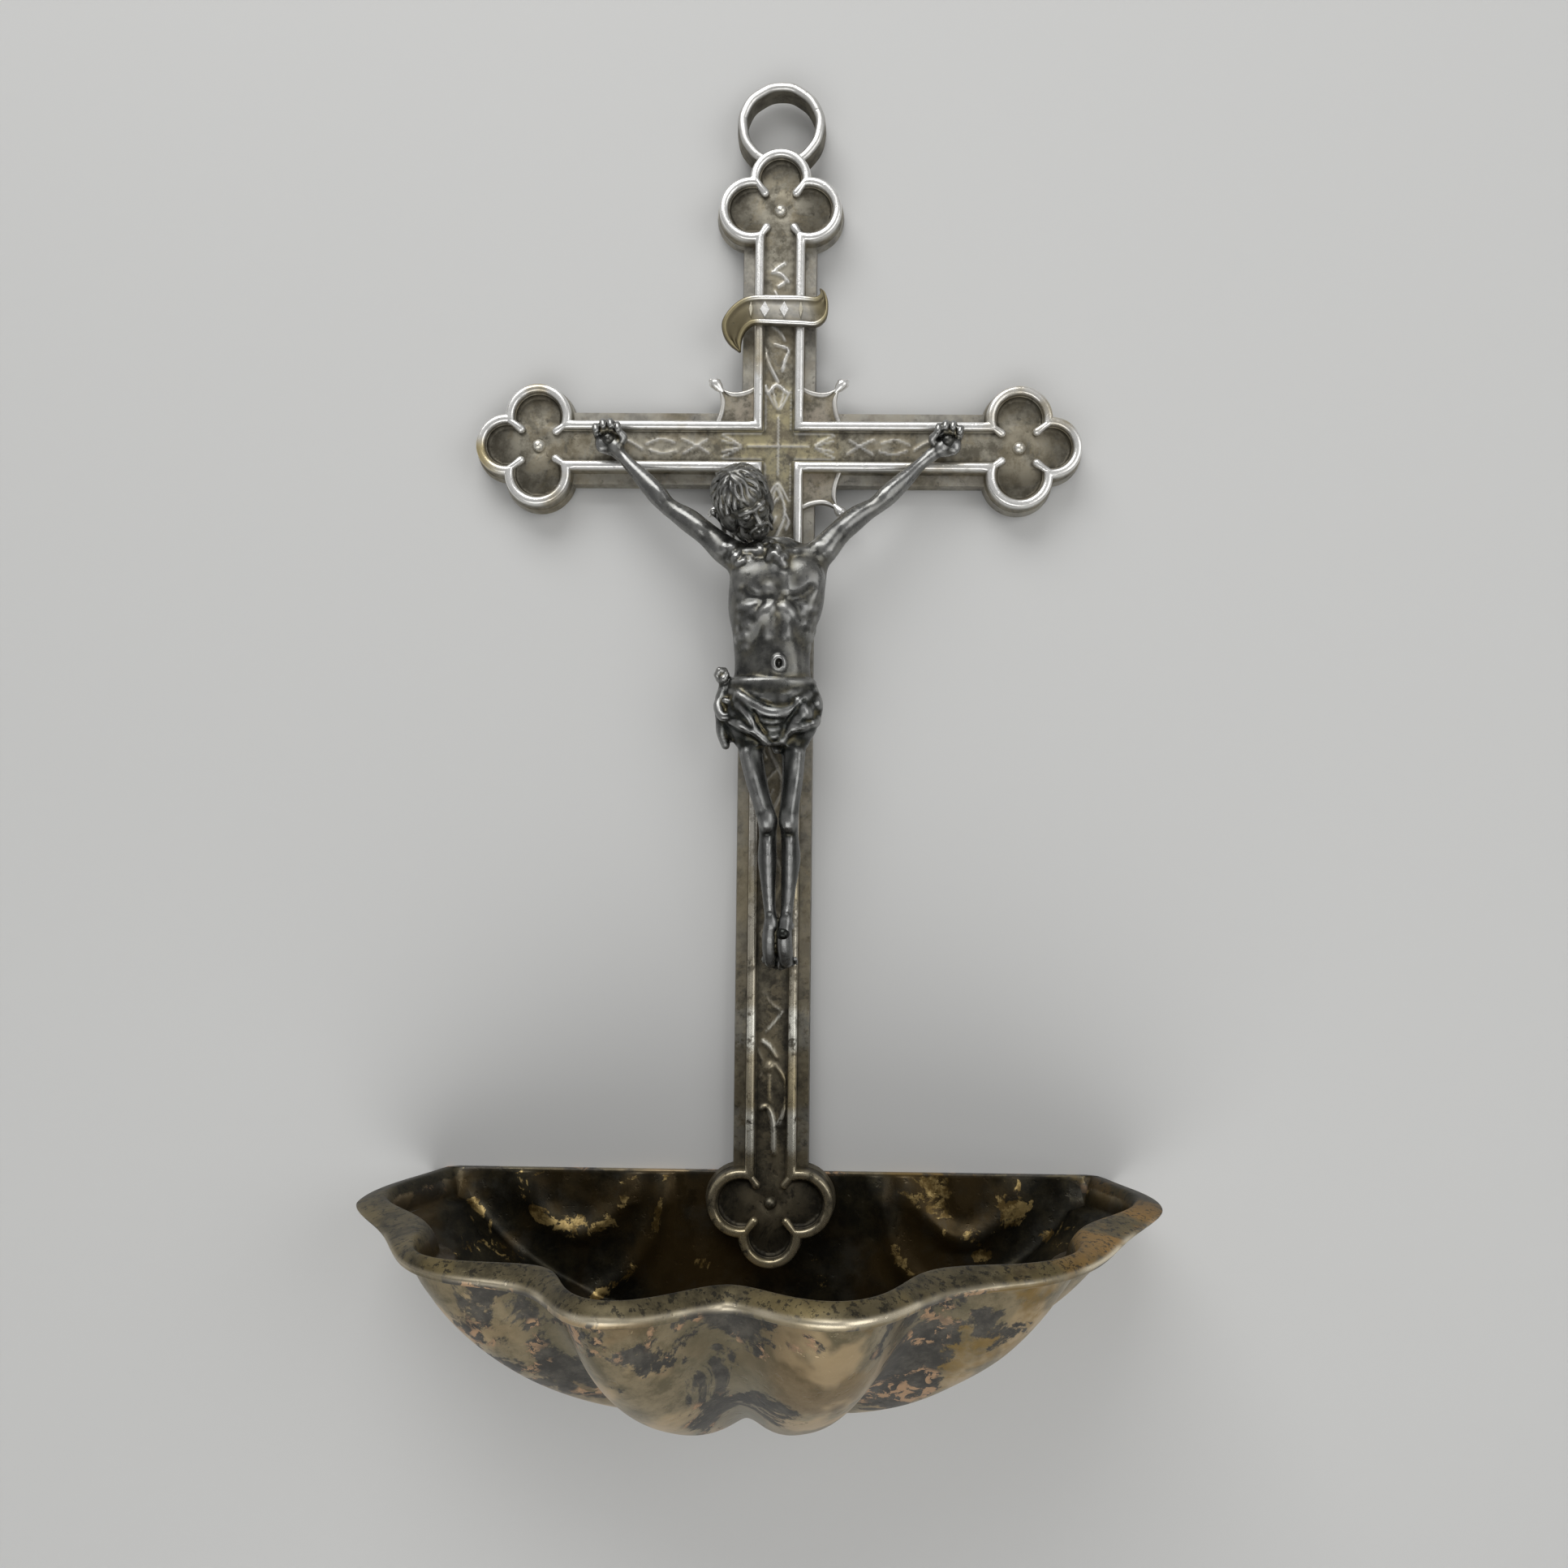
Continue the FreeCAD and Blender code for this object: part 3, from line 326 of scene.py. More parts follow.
def shellBrass(name):
    material, tree, shader, place = newMaterial(name)
    where = useGroup(tree, placeGroup, Place=place).outputs
    grain = useGroup(tree, grainGroup, Place=place, Pits=0.8).outputs
    inside = attribute(tree, "inside")
    ridge = attribute(tree, "ridge")
    mottle = noiseMask(tree, place, 4.0, 6.0, 0.7)
    broad = noiseMask(tree, place, 22.0, 4.0, 0.6)
    bias = times(tree, calc(tree, "SUBTRACT", ridge, 0.5), 0.08)
    worn = useGroup(tree, wearGroup, Place=place, Bias=calc(tree, "ADD", bias, 0.035), Size=13.0).outputs
    fleck = useGroup(tree, wearGroup, Place=place, Bias=-0.02, Size=2.6).outputs
    gold = mixColour(tree, spread(tree, mottle, 0.35, 0.65), tone(116, 107, 84), tone(158, 144, 116))
    gold = mixColour(tree, times(tree, spread(tree, broad, 0.5, 0.62), 0.5), gold, tone(126, 102, 68))
    # painted sheen: the flute crests turn light tan in patches
    sheen = times(tree, ridge, spread(tree, noiseMask(tree, place, 12.0, 3.0), 0.48, 0.60))
    gold = mixColour(tree, times(tree, sheen, 0.7), gold, tone(206, 180, 140))
    groove = spread(tree, ridge, 0.15, 0.55, 0.5, 0.0)
    gold = mixColour(tree, groove, gold, tone(112, 108, 90))
    yellow = times(
        tree, spread(tree, where[0], 4.0, 26.0), spread(tree, noiseMask(tree, place, 11.0, 4.0), 0.48, 0.58),
    )
    gold = mixColour(tree, times(tree, yellow, 0.7), gold, tone(150, 122, 66))
    black = mixColour(tree, spread(tree, mottle, 0.40, 0.68), tone(78, 76, 72), tone(108, 104, 96))
    outside = mixColour(tree, worn[0], black, gold)
    bare = calc(tree, "SUBTRACT", 1.0, worn[0])
    coppery = times(tree, fleck[0], bare, spread(tree, noiseMask(tree, place, 9.0, 2.0), 0.50, 0.58))
    outside = mixColour(tree, times(tree, coppery, 0.85), outside, tone(204, 168, 132))
    # inside: near black, worn to amber along the cast ridges and in spots, partly as painted highlight
    wearAndHighlightPart = attribute(tree, "amber")
    within = mixColour(tree, spread(tree, mottle, 0.4, 0.7), tone(34, 32, 25), tone(60, 55, 40))
    within = mixColour(tree, times(tree, spread(tree, broad, 0.42, 0.6), 0.6), within, tone(84, 66, 34))
    hazy = times(tree, spread(tree, noiseMask(tree, place, 9.0, 5.0), 0.52, 0.66), 0.35)
    within = mixColour(tree, hazy, within, tone(84, 82, 74))
    wearAndHighlightBias = calc(tree, "ADD", times(tree, wearAndHighlightPart, 0.20), -0.19)
    wearAndHighlight = useGroup(tree, wearGroup, Place=place, Bias=wearAndHighlightBias, Size=5.0).outputs
    amber = mixColour(tree, spread(tree, mottle, 0.42, 0.62), tone(104, 84, 44), tone(214, 186, 124))
    within = mixColour(tree, times(tree, wearAndHighlight[0], 0.85), within, amber)
    # the lip: olive brown with dark specks, amber towards the right, dark again at the back
    specks = spread(tree, noiseMask(tree, place, 1.1, 4.0, 0.7), 0.53, 0.60)
    rim = mixColour(tree, spread(tree, mottle, 0.35, 0.6), tone(64, 58, 42), tone(98, 89, 66))
    olive = spread(tree, noiseMask(tree, place, 13.0, 3.0), 0.48, 0.62)
    rim = mixColour(tree, times(tree, olive, 0.5), rim, tone(128, 113, 74))
    rightTip = times(
        tree, spread(tree, where[0], 34.0, 58.0), spread(tree, noiseMask(tree, place, 9.0, 4.0), 0.40, 0.56),
    )
    rim = mixColour(tree, rightTip, rim, tone(156, 120, 60))
    rim = mixColour(tree, times(tree, specks, 0.8), rim, tone(32, 30, 24))
    rim = mixColour(tree, spread(tree, where[1], 10.0, 30.0, 0.75, 0.0), rim, tone(44, 43, 37))
    ragged = times(tree, calc(tree, "SUBTRACT", noiseMask(tree, place, 2.5, 5.0, 0.7), 0.5), 0.9)
    lip = spread(tree, calc(tree, "ADD", attribute(tree, "lip"), ragged), 0.40, 0.60)
    # painted highlight: a broken bright line along the lip's rolled edge, strongest at the front and weak at
    # the left
    brightPart = spread(tree, noiseMask(tree, place, 16.0, 2.0), 0.40, 0.52, 0.3, 1.0)
    edge = times(
        tree, attribute(tree, "edge"), brightPart, spread(tree, where[1], 20.0, 42.0),
        spread(tree, where[0], -46.0, -26.0, 0.3, 1.0),
    )
    colour = mixColour(tree, inside, outside, within)
    colour = mixColour(tree, lip, colour, rim)
    colour = mixColour(tree, edge, colour, tone(226, 214, 188))
    rough = spread(tree, worn[0], 0.0, 1.0, 0.48, 0.34)
    rough = put(tree, "Mix", {0: lip, 2: rough, 3: 0.5}).outputs[0]
    rough = put(tree, "Mix", {0: edge, 2: rough, 3: 0.24}).outputs[0]
    finishMetal(tree, shader, colour, rough, 0.75, grain[0], 0.06)
    return material


def plainMetal(name, first, second, roughness):
    material, tree, shader, place = newMaterial(name)
    grain = useGroup(tree, grainGroup, Place=place, Pits=0.4).outputs
    mottle = noiseMask(tree, place, 1.8, 6.0, 0.7)
    colour = mixColour(tree, spread(tree, mottle, 0.35, 0.65), first, second)
    colour = mixColour(tree, times(tree, grain[1], 0.35), colour, tone(60, 54, 44))
    rough = spread(tree, mottle, 0.3, 0.7, roughness, roughness + 0.12)
    finishMetal(tree, shader, colour, rough, 0.8, grain[0], 0.03)
    return material


frameMaterial = silveredBrass("silveredBrass", "attribute", warm=tone(168, 158, 116))
plateMaterial = silveredBrass("silveredPlate", 0.16)
# the ring is darkened all over as painted shade, standing in for the shade on its inner wall
ringMaterial = silveredBrass("silveredRing", (4.3, 4.9, 0.8), 0.5)
nimbusMaterial = silveredBrass("silveredNimbus", "attribute")
figureMaterial = blackenedSilver("blackenedSilver")
pinMaterial = blackenedSilver("blackenedPins", False)
shellMaterial = shellBrass("shellBrass")
nutMaterial = plainMetal("plainBrass", tone(120, 98, 56), tone(150, 128, 80), 0.42)
rivetMaterial = plainMetal("rivetBrass", tone(196, 190, 176), tone(240, 238, 230), 0.24)
dullMaterial = plainMetal("dullBrass", tone(72, 68, 56), tone(122, 116, 100), 0.34)
print("materials made")


# The cross's front frame.
cross = {
    "topReach": 45.0,
    "armReach": 45.0,
    "footReach": 139.9,
    "endLobe": 5.7,
    "endShift": 5.9,
    "sideLobe": 6.15,
    "sideShift": 5.35,
    "half": 4.6,
    # rounded border, as inset from the outline and height above the plate
    "border": [
        (-0.25, 0.0), (-0.12, 1.3), (0.0, 2.40), (0.06, 2.66), (0.22, 2.86), (0.48, 2.97), (0.80, 3.0),
        (1.12, 2.97), (1.38, 2.86), (1.54, 2.66), (1.60, 2.40), (1.66, 2.10), (1.76, 1.92), (1.86, 1.88),
    ],
    "floor": 1.88,
    "floorStep": 0.34,  # how finely the channel's floor is divided
    "lobeDish": 0.95,
    "lobesEnd": 14.0,
    "rivetDimple": 0.34,
    "vineSwing": 1.35,
    "leafEvery": 8.5,
    "polished": (2.05, 2.6),  # heights between which the border turns bright
    # leaves and buds on the upper arm, then on the low end of the shaft: path, half width, height
    "buds": [
        ([(0.9, 34.8), (-0.2, 34.1), (-1.4, 33.1)], 0.30, 0.34),
        ([(-1.1, 33.1), (0.3, 32.7), (1.5, 31.4)], 0.34, 0.34),
        ([(-0.2, 30.4), (0.8, 31.1)], 0.36, 0.30),
        ([(-0.9, 29.4), (-0.2, 28.2), (0.9, 27.6)], 0.26, 0.26),
        ([(-2.6, 18.1), (-1.8, 15.6), (-0.2, 12.4)], 0.32, 0.34),
        ([(-0.9, 19.4), (1.7, 18.4), (1.2, 16.6), (0.7, 14.4)], 0.30, 0.32),
        ([(-2.9, 12.3), (-1.9, 10.0)], 0.26, 0.28),
        ([(-1.9, 10.0), (-0.4, 11.6), (1.8, 10.0)], 0.34, 0.34),
        ([(-1.4, 23.0), (0.2, 21.6), (1.0, 20.2)], 0.28, 0.26),
        ([(-1.5, -110.5), (-0.3, -111.5), (0.9, -113.4)], 0.40, 0.5),
        ([(-0.5, -115.4), (-0.3, -115.0)], 0.80, 0.6),
        ([(0.7, -114.7), (2.3, -117.1), (2.9, -119.6), (2.5, -122.5), (1.4, -125.5)], 0.34, 0.5),
        ([(-0.4, -116.6), (-0.4, -118.9), (-0.3, -121.5)], 0.26, 0.42),
        (
            [(-1.8, -122.6), (-0.8, -122.4), (0.0, -123.6), (0.4, -125.6), (0.5, -128.4), (0.5, -130.8)],
            0.38, 0.55,
        ),
        ([(-2.4, -112.0), (-1.6, -114.4), (-2.0, -117.0)], 0.20, 0.22),
        ([(1.9, -105.0), (0.4, -107.0), (-1.0, -108.6)], 0.28, 0.28),
        ([(-1.6, -101.5), (-0.2, -103.4), (1.4, -104.6)], 0.26, 0.26),
    ],
    "armLeaves": [
        [(13.0, -1.3), (15.2, 0.1), (18.0, 1.4)], [(13.4, 1.2), (15.2, 0.1), (17.6, -1.3)],
        [(19.0, -0.9), (21.5, -1.4), (24.0, -0.8)], [(19.4, 0.7), (22.0, 1.3), (24.6, 0.4)],
        [(25.4, -0.6), (27.2, 0.5), (29.0, 1.3)],
    ],
    # where the borders of two lobes meet, and where a lobe meets its arm: along, across, radius
    "spurs": [
        [(6.0, 5.0, 0.66), (4.4, 3.9, 0.64), (3.2, 2.95, 0.82)],
        [(-5.3, 3.9, 0.66), (-4.4, 3.3, 0.64), (-3.4, 2.6, 0.82)],
    ],
    "spurTop": 2.98,
}

# each end of the cross: its reach, then its direction across and up
crossEnds = (("topReach", 0, 1), ("armReach", -1, 0), ("armReach", 1, 0), ("footReach", 0, -1))


def alongEnd(x, z, dx, dz):
    # How far out along an end spots lie, then how far to its side.
    return x * dx + z * dz, x * dz - z * dx


def turnTo(line, dx, dz):
    # A path in an end's own directions, turned to lie along it.
    return [(u * dx - v * dz, u * dz + v * dx) for u, v in line]


def lobeShare(u, v, low, high):
    # How far out in the dished lobes of an end spots lie, from 0 to 1.
    away = np.hypot(u, v)
    beyond = np.maximum(blendTo(u, -1.0, 2.0), blendTo(np.abs(v), 2.6, 4.2))
    return blendTo(away, low, high) * beyond * (away < cross["lobesEnd"])


def endLoop(reach, inset, straight):
    # One end of the outline in its own directions: along the arm, then across it.
    half = cross["half"] - inset
    side = cross["sideLobe"] - inset
    tip = cross["endLobe"] - inset
    shift = cross["sideShift"]
    ahead = cross["endShift"]
    start = reach - math.sqrt(side**2 - (shift - half) ** 2)
    first = math.atan2(shift - half, start - reach)
    gap = math.hypot(ahead, shift)
    along = (side**2 - tip**2 + gap**2) / (2 * gap)
    off = math.sqrt(side**2 - along**2)
    meetAlong = (ahead * along + shift * off) / gap
    meetAcross = (shift * along - ahead * off) / gap
    last = math.atan2(meetAcross, meetAlong)
    if last < first:
        last += 2 * math.pi
    line = np.linspace(half, start, straight, endpoint=False)
    lineOut = np.column_stack([line, np.full(straight, -half)])
    turn = np.linspace(first, last, 56)
    lobe = np.column_stack([reach + side * np.cos(turn), -shift + side * np.sin(turn)])
    meet = math.atan2(meetAcross - shift, meetAlong - ahead)
    turn = np.linspace(meet, -meet, 58)[1:-1]
    tipLobe = np.column_stack([reach + ahead + tip * np.cos(turn), tip * np.sin(turn)])
    mirrored = lobe[::-1] * [1, -1]
    lineBack = np.column_stack([line, np.full(straight, half)])[:0:-1]
    return np.vstack([lineOut, lobe, tipLobe, mirrored, lineBack])


def crossLoop(inset):
    ends = [("armReach", 0, 26), ("topReach", 90, 26), ("armReach", 180, 26), ("footReach", 270, 90)]
    loop = []
    for reach, turn, straight in ends:
        local = endLoop(cross[reach], inset, straight)
        c, s = round(math.cos(math.radians(turn))), round(math.sin(math.radians(turn)))
        loop.append(np.column_stack([local[:, 0] * c - local[:, 1] * s, local[:, 0] * s + local[:, 1] * c]))
    return np.vstack(loop)


def insideCross(x, z, inset):
    half = cross["half"] - inset
    found = (abs(x) < half) & (z < cross["topReach"]) & (z > -cross["footReach"])
    found |= (abs(z) < half) & (abs(x) < cross["armReach"])
    for reach, dx, dz in crossEnds:
        u, v = alongEnd(x, z, dx, dz)
        for along, across, radius in (
            (cross["endShift"], 0, cross["endLobe"]), (0, 1, cross["sideLobe"]), (0, -1, cross["sideLobe"]),
        ):
            centre = across * cross["sideShift"]
            found |= np.hypot(u - cross[reach] - along, v - centre) < radius - inset
    return found


def strokeRelief(x, z, strokes):
    # Rounded raised lines on the channel's floor: each is a path, a half width and a height.
    out = np.zeros(len(x))
    for path, width, height in strokes:
        path = smoothPath(path, max(12, 8 * len(path)))
        near = (x > path[:, 0].min() - 2) & (x < path[:, 0].max() + 2)
        near &= (z > path[:, 1].min() - 2) & (z < path[:, 1].max() + 2)
        spots = np.column_stack([x[near], z[near]])
        if not len(spots):
            continue
        best = np.full(len(spots), 9.0)
        for a, b in zip(path[:-1], path[1:]):
            run = b - a
            share = np.clip(((spots - a) @ run) / (run @ run + 1e-9), 0, 1)
            best = np.minimum(best, np.hypot(*(spots - a - share[:, None] * run).T))
        raised = height * np.exp(-((best / width) ** 2))
        out[near] = np.maximum(out[near], raised)
    return out


def vine(length, start, direction, side):
    # A wavy stem with curled leaves, in arm directions, from start to start + length.
    dx, dz = direction
    strokes = []
    leafEvery = cross["leafEvery"]
    count = max(int(length / 2.0), 4)
    stem = []
    for step in range(count + 1):
        along = length * step / count
        across = side * cross["vineSwing"] * math.sin(math.pi * along / leafEvery)
        stem.append((start + along, across))
    strokes.append((stem, 0.26, 0.30))
    for turn in range(int(length / leafEvery)):
        along = start + leafEvery * (turn + 0.5)
        flip = side * (1 if turn % 2 == 0 else -1)
        leaf = [
            (along - 2.6, 0.2 * flip), (along - 0.4, -1.6 * flip), (along + 1.6, -1.5 * flip),
            (along + 1.9, -0.6 * flip), (along + 1.0, -0.3 * flip),
        ]
        strokes.append((leaf, 0.24, 0.26))
        tip = [(along + 0.4, 1.5 * flip), (along + 2.0, 2.1 * flip), (along + 3.4, 1.6 * flip)]
        strokes.append((tip, 0.30, 0.24))
    return [(turnTo(path, dx, dz), width, height) for path, width, height in strokes]


def channelHeight(x, z):
    # Height of the channel's floor above the plate, with its dished lobes and its vines.
    height = np.full(len(x), cross["floor"])
    for reach, dx, dz in crossEnds:
        u, v = alongEnd(x, z, dx, dz)
        u = u - cross[reach]
        height -= cross["lobeDish"] * lobeShare(u, v, 2.0, 9.5)
        height -= cross["rivetDimple"] * np.exp(-((np.hypot(u, v) / 1.9) ** 4))
    strokes = vine(88.0, 8.0, (0, -1), 1)
    strokes += cross["buds"]
    for side in (-1, 1):
        for leaf in cross["armLeaves"]:
            strokes.append(([(side * a, c) for a, c in leaf], 0.26, 0.24))
    # the crossing: a fine plus, with a fan of leaves out along each arm
    strokes.append(([(-5.6, 0), (5.6, 0)], 0.22, 0.30))
    strokes.append(([(0, -5.6), (0, 5.6)], 0.22, 0.30))
    for dx, dz in ((1, 0), (-1, 0), (0, 1), (0, -1)):
        for across in (-1.5, -0.75, 0.75, 1.5):
            leaf = [(7.0, 0.15 * across), (8.6, 0.8 * across), (10.4, 1.35 * across)]
            strokes.append((turnTo(leaf, dx, dz), 0.24, 0.24))
        for across in (-2.35, 2.35):
            line = [(3.2, across), (10.5, across)]
            strokes.append((turnTo(line, dx, dz), 0.18, 0.16))
    return height + strokeRelief(x, z, strokes)


def ridgeMesh(path, sides=14):
    # A rounded ridge with blunt ends. The path gives across, forward, up and radius.
    path = np.asarray(path, float)
    turns = np.linspace(0, np.pi / 2, 5)
    run = path[1, :3] - path[0, :3]
    run /= np.linalg.norm(run)
    stations = [
        (path[0, :3] - run * path[0, 3] * math.cos(t), path[0, 3] * max(math.sin(t), 0.02)) for t in turns
    ]
    stations += [(spot[:3], spot[3]) for spot in path[1:-1]]
    run = path[-1, :3] - path[-2, :3]
    run /= np.linalg.norm(run)
    stations += [
        (path[-1, :3] + run * path[-1, 3] * math.sin(t), path[-1, 3] * max(math.cos(t), 0.02)) for t in turns
    ]
    rows = []
    for centre, radius in stations:
        side = np.cross(run, [0, -1, 0])
        side /= np.linalg.norm(side)
        lift = np.cross(side, run)
        angle = np.linspace(0, 2 * np.pi, sides, endpoint=False)[:, None]
        rows.append(centre + radius * (np.cos(angle) * side + np.sin(angle) * lift))
    return np.vstack(rows), gridFaces(len(rows), sides)


def buildFrame():
    rows = [crossLoop(inset) for inset, _ in cross["border"]]
    cols = len(rows[0])
    verts = []
    polish = []
    for (inset, height), row in zip(cross["border"], rows):
        y = layout["plateFront"] - height
        verts.append(np.column_stack([row[:, 0], np.full(cols, y), row[:, 1] + layout["crossing"]]))
        polish += [float(blendTo(height, *cross["polished"]))] * cols
    faces = gridFaces(len(rows), cols).tolist()
    inset = cross["border"][-1][0]
    step = cross["floorStep"]
    x, z = np.meshgrid(np.arange(-57, 57, step), np.arange(-152, 58, step))
    x = x + (np.arange(x.shape[0]) % 2)[:, None] * step / 2
    keep = insideCross(x, z, inset + 0.16)
    points = np.vstack([rows[-1], np.column_stack([x[keep], z[keep]])])
    flat = geometry.delaunay_2d_cdt([Vector(p) for p in points.tolist()], [], [list(range(cols))], 1, 1e-5)
    floor = np.array([tuple(v) for v in flat[0]])
    height = channelHeight(floor[:, 0], floor[:, 1])
    for index, origin in enumerate(flat[3]):
        if origin and min(origin) < cols:
            height[index] = cross["floor"]
    base = len(rows) * cols
    verts.append(np.column_stack([
        floor[:, 0], layout["plateFront"] - height, floor[:, 1] + layout["crossing"],
    ]))
    shaft = (np.abs(floor[:, 0]) < 5.5) & (np.abs(floor[:, 1]) > 5.5)
    polish += list(np.clip((height - cross["floor"] - 0.08) / 0.3, 0, np.where(shaft, 0.7, 0.35)))
    faces += [[index + base for index in face] for face in flat[2]]
    # spurs where the borders of two lobes meet, and where a lobe meets its arm
    base += len(floor)
    for reach, dx, dz in crossEnds:
        for side in (-1, 1):
            for line in cross["spurs"]:
                path = []
                for along, across, radius in line:
                    x, z = turnTo([(cross[reach] + along, side * across)], dx, dz)[0]
                    y = layout["plateFront"] - (cross["spurTop"] - radius)
                    path.append((x, y, z + layout["crossing"], radius))
                spur, spurFaces = ridgeMesh(path)
                verts.append(spur)
                faces += (spurFaces + base).tolist()
                polish += list(blendTo(layout["plateFront"] - spur[:, 1], *cross["polished"]))
                base += len(spur)
    verts = np.vstack(verts)
    piece = addMesh("crossFrame", verts, faces)
    setValues(piece, "polish", polish)
    # painted shade along the foot of the border and out in the dished lobes
    tree = kdtree.KDTree(cols)
    for index, (x, z) in enumerate(rows[-1]):
        tree.insert((x, z, 0), index)
    tree.balance()
    paintedShade = np.zeros(len(verts))
    firstFloor = len(rows) * cols
    for index, (x, z) in enumerate(floor):
        away = tree.find((x, z, 0))[2]
        paintedShade[firstFloor + index] = 0.9 * math.exp(-((away / 0.7) ** 2))
    lobes = np.zeros(len(floor))
    for reach, dx, dz in crossEnds:
        u, v = alongEnd(floor[:, 0], floor[:, 1], dx, dz)
        lobes = np.maximum(lobes, 0.75 * lobeShare(u - cross[reach], v, 2.6, 7.4))
    part = slice(firstFloor, firstFloor + len(floor))
    paintedShade[part] = np.maximum(paintedShade[part], lobes)
    setValues(piece, "paintedShade", paintedShade)
    return finishPiece(piece, frameMaterial, "silvered_brass", "cross_front_frame")


buildFrame()
print("frame built")


# The title scroll.
scroll = {
    "middle": (0.0, -36.2),
    "face": 6.1,
    # across and up on the upper edge, then on the lower one, from the left tip to the right
    "rungs": [
        (-7.5, -7.1, -7.2, -6.9), (-9.3, -5.9, -7.1, -5.7), (-10.5, -4.1, -6.8, -4.6),
        (-10.7, -1.9, -6.2, -3.6),
        (-9.3, 0.4, -5.4, -2.95), (-7.0, 2.2, -4.6, -2.65), (-4.5, 2.9, -3.4, -2.6), (0.0, 2.95, 0.0, -2.75),
        (3.0, 2.9, 4.3, -2.9), (5.2, 2.75, 6.8, -3.0), (6.6, 2.6, 8.3, -2.1), (7.3, 3.0, 9.0, -0.6),
        (7.6, 3.6, 9.1, 1.9), (7.6, 4.2, 8.5, 3.9), (7.5, 4.9, 7.8, 4.8),
    ],
    # distance in from an edge, then height above the face
    "bead": [
        (0.0, -0.9), (0.0, -0.2), (0.08, 0.1), (0.26, 0.32), (0.52, 0.40), (0.80, 0.32), (1.0, 0.08),
        (1.2, 0.0),
    ],
    # the raised signs: place across and half width
    "signs": ((-5.3, 0.45), (-2.7, 1.15), (0.9, 1.1), (4.0, 0.5)),
}


def lathe(profile, centre, sides=28):
    # Rings round a line that points forward. Each gives a radius and how far forward it lies.
    turns = np.linspace(0, 2 * np.pi, sides, endpoint=False)
    rows = []
    for radius, ahead in profile:
        rows.append(np.column_stack([
            centre[0] + radius * np.cos(turns), np.full(sides, -ahead), centre[1] + radius * np.sin(turns),
        ]))
    return np.vstack(rows), gridFaces(len(rows), sides)


def buildScroll():
    rungs = smoothPath(scroll["rungs"], 120)
    share = np.linspace(0, 1, len(rungs))
    back = 2.0 * np.clip(1 - share / 0.36, 0, 1) ** 1.5 + 1.7 * np.clip((share - 0.72) / 0.28, 0, 1) ** 1.5
    verts = []
    polish = []
    olive = []
    for (ax, az, bx, bz), step, bend in zip(rungs, share, back):
        width = math.hypot(bx - ax, bz - az)
        size = min(1.0, width / 2.6)
        row = [(away * size, rise if rise < -0.5 else rise * size) for away, rise in scroll["bead"]]
        row += [(width * part, 0.12 * size) for part in (0.36, 0.5, 0.64)]
        row += [(width - away, rise) for away, rise in row[7::-1]]
        middle = math.exp(-(((step - 0.53) / 0.14) ** 4))
        for away, rise in row:
            part = away / max(width, 1e-6)
            x = ax + (bx - ax) * part + scroll["middle"][0]
            z = az + (bz - az) * part + scroll["middle"][1]
            verts.append((x, -(scroll["face"] - bend + rise), z))
            polish.append((0.3 + 0.7 * middle) * float(blendTo(
                rise, 0.08 * size, 0.22 * size,
            )) + 0.05 * middle)
            olive.append(1 - middle)
    cols = len(row)
    faces = gridFaces(len(rungs), cols).tolist()
    faces += [list(range(cols)), list(range((len(rungs) - 1) * cols, len(rungs) * cols))]
    flags = [True] * len(faces)
    for across, half in scroll["signs"]:
        base = len(verts)
        x, z, y = across, scroll["middle"][1] + 0.1, -scroll["face"]
        corners = [(x - half, z), (x, z + 1.8), (x + half, z), (x, z - 1.8)]
        verts += [(a, y + 0.1, c) for a, c in corners] + [
            (a * 0.74 + x * 0.26, y - 0.42, c * 0.8 + z * 0.2) for a, c in corners
        ]
        faces += [[base + i, base + (i + 1) % 4, base + 4 + (i + 1) % 4, base + 4 + i] for i in range(4)]
        faces += [[base + 4, base + 5, base + 6, base + 7], [base + 3, base + 2, base + 1, base]]
        flags += [False] * 6
        polish += [1.0 if half > 0.8 else 0.7] * 8
        olive += [0.0 if half > 0.8 else 0.6] * 8
    # its shank, with a tail peened into the plate at the back
    shank, shankFaces = lathe(
        [(0.05, 0.0), (1.12, 0.0), (0.7, 0.42), (0.7, 5.4), (0.05, 5.4)], scroll["middle"],
    )
    faces += (shankFaces + len(verts)).tolist()
    flags += [True] * len(shankFaces)
    verts += shank.tolist()
    polish += [0.0] * len(shank)
    olive += [0.0] * len(shank)
    piece = addMesh("titleScroll", verts, faces)
    piece.data.polygons.foreach_set("use_smooth", flags)
    fixNormals(piece)
    setValues(piece, "polish", polish)
    # painted shade wherever the scroll is barely polished, mostly on its low parts
    setValues(piece, "paintedShade", [0.55 * (value < 0.2) for value in polish])
    setValues(piece, "olive", olive)
    return finishPiece(piece, frameMaterial, "silvered_brass", "title_scroll")


buildScroll()
print("scroll built")


# The hanging ring.
ring = {
    "bore": 6.4,
    "band": 1.8,
    "depth": 5.0,
    "draft": 0.25,
    "gap": 25.1,
}


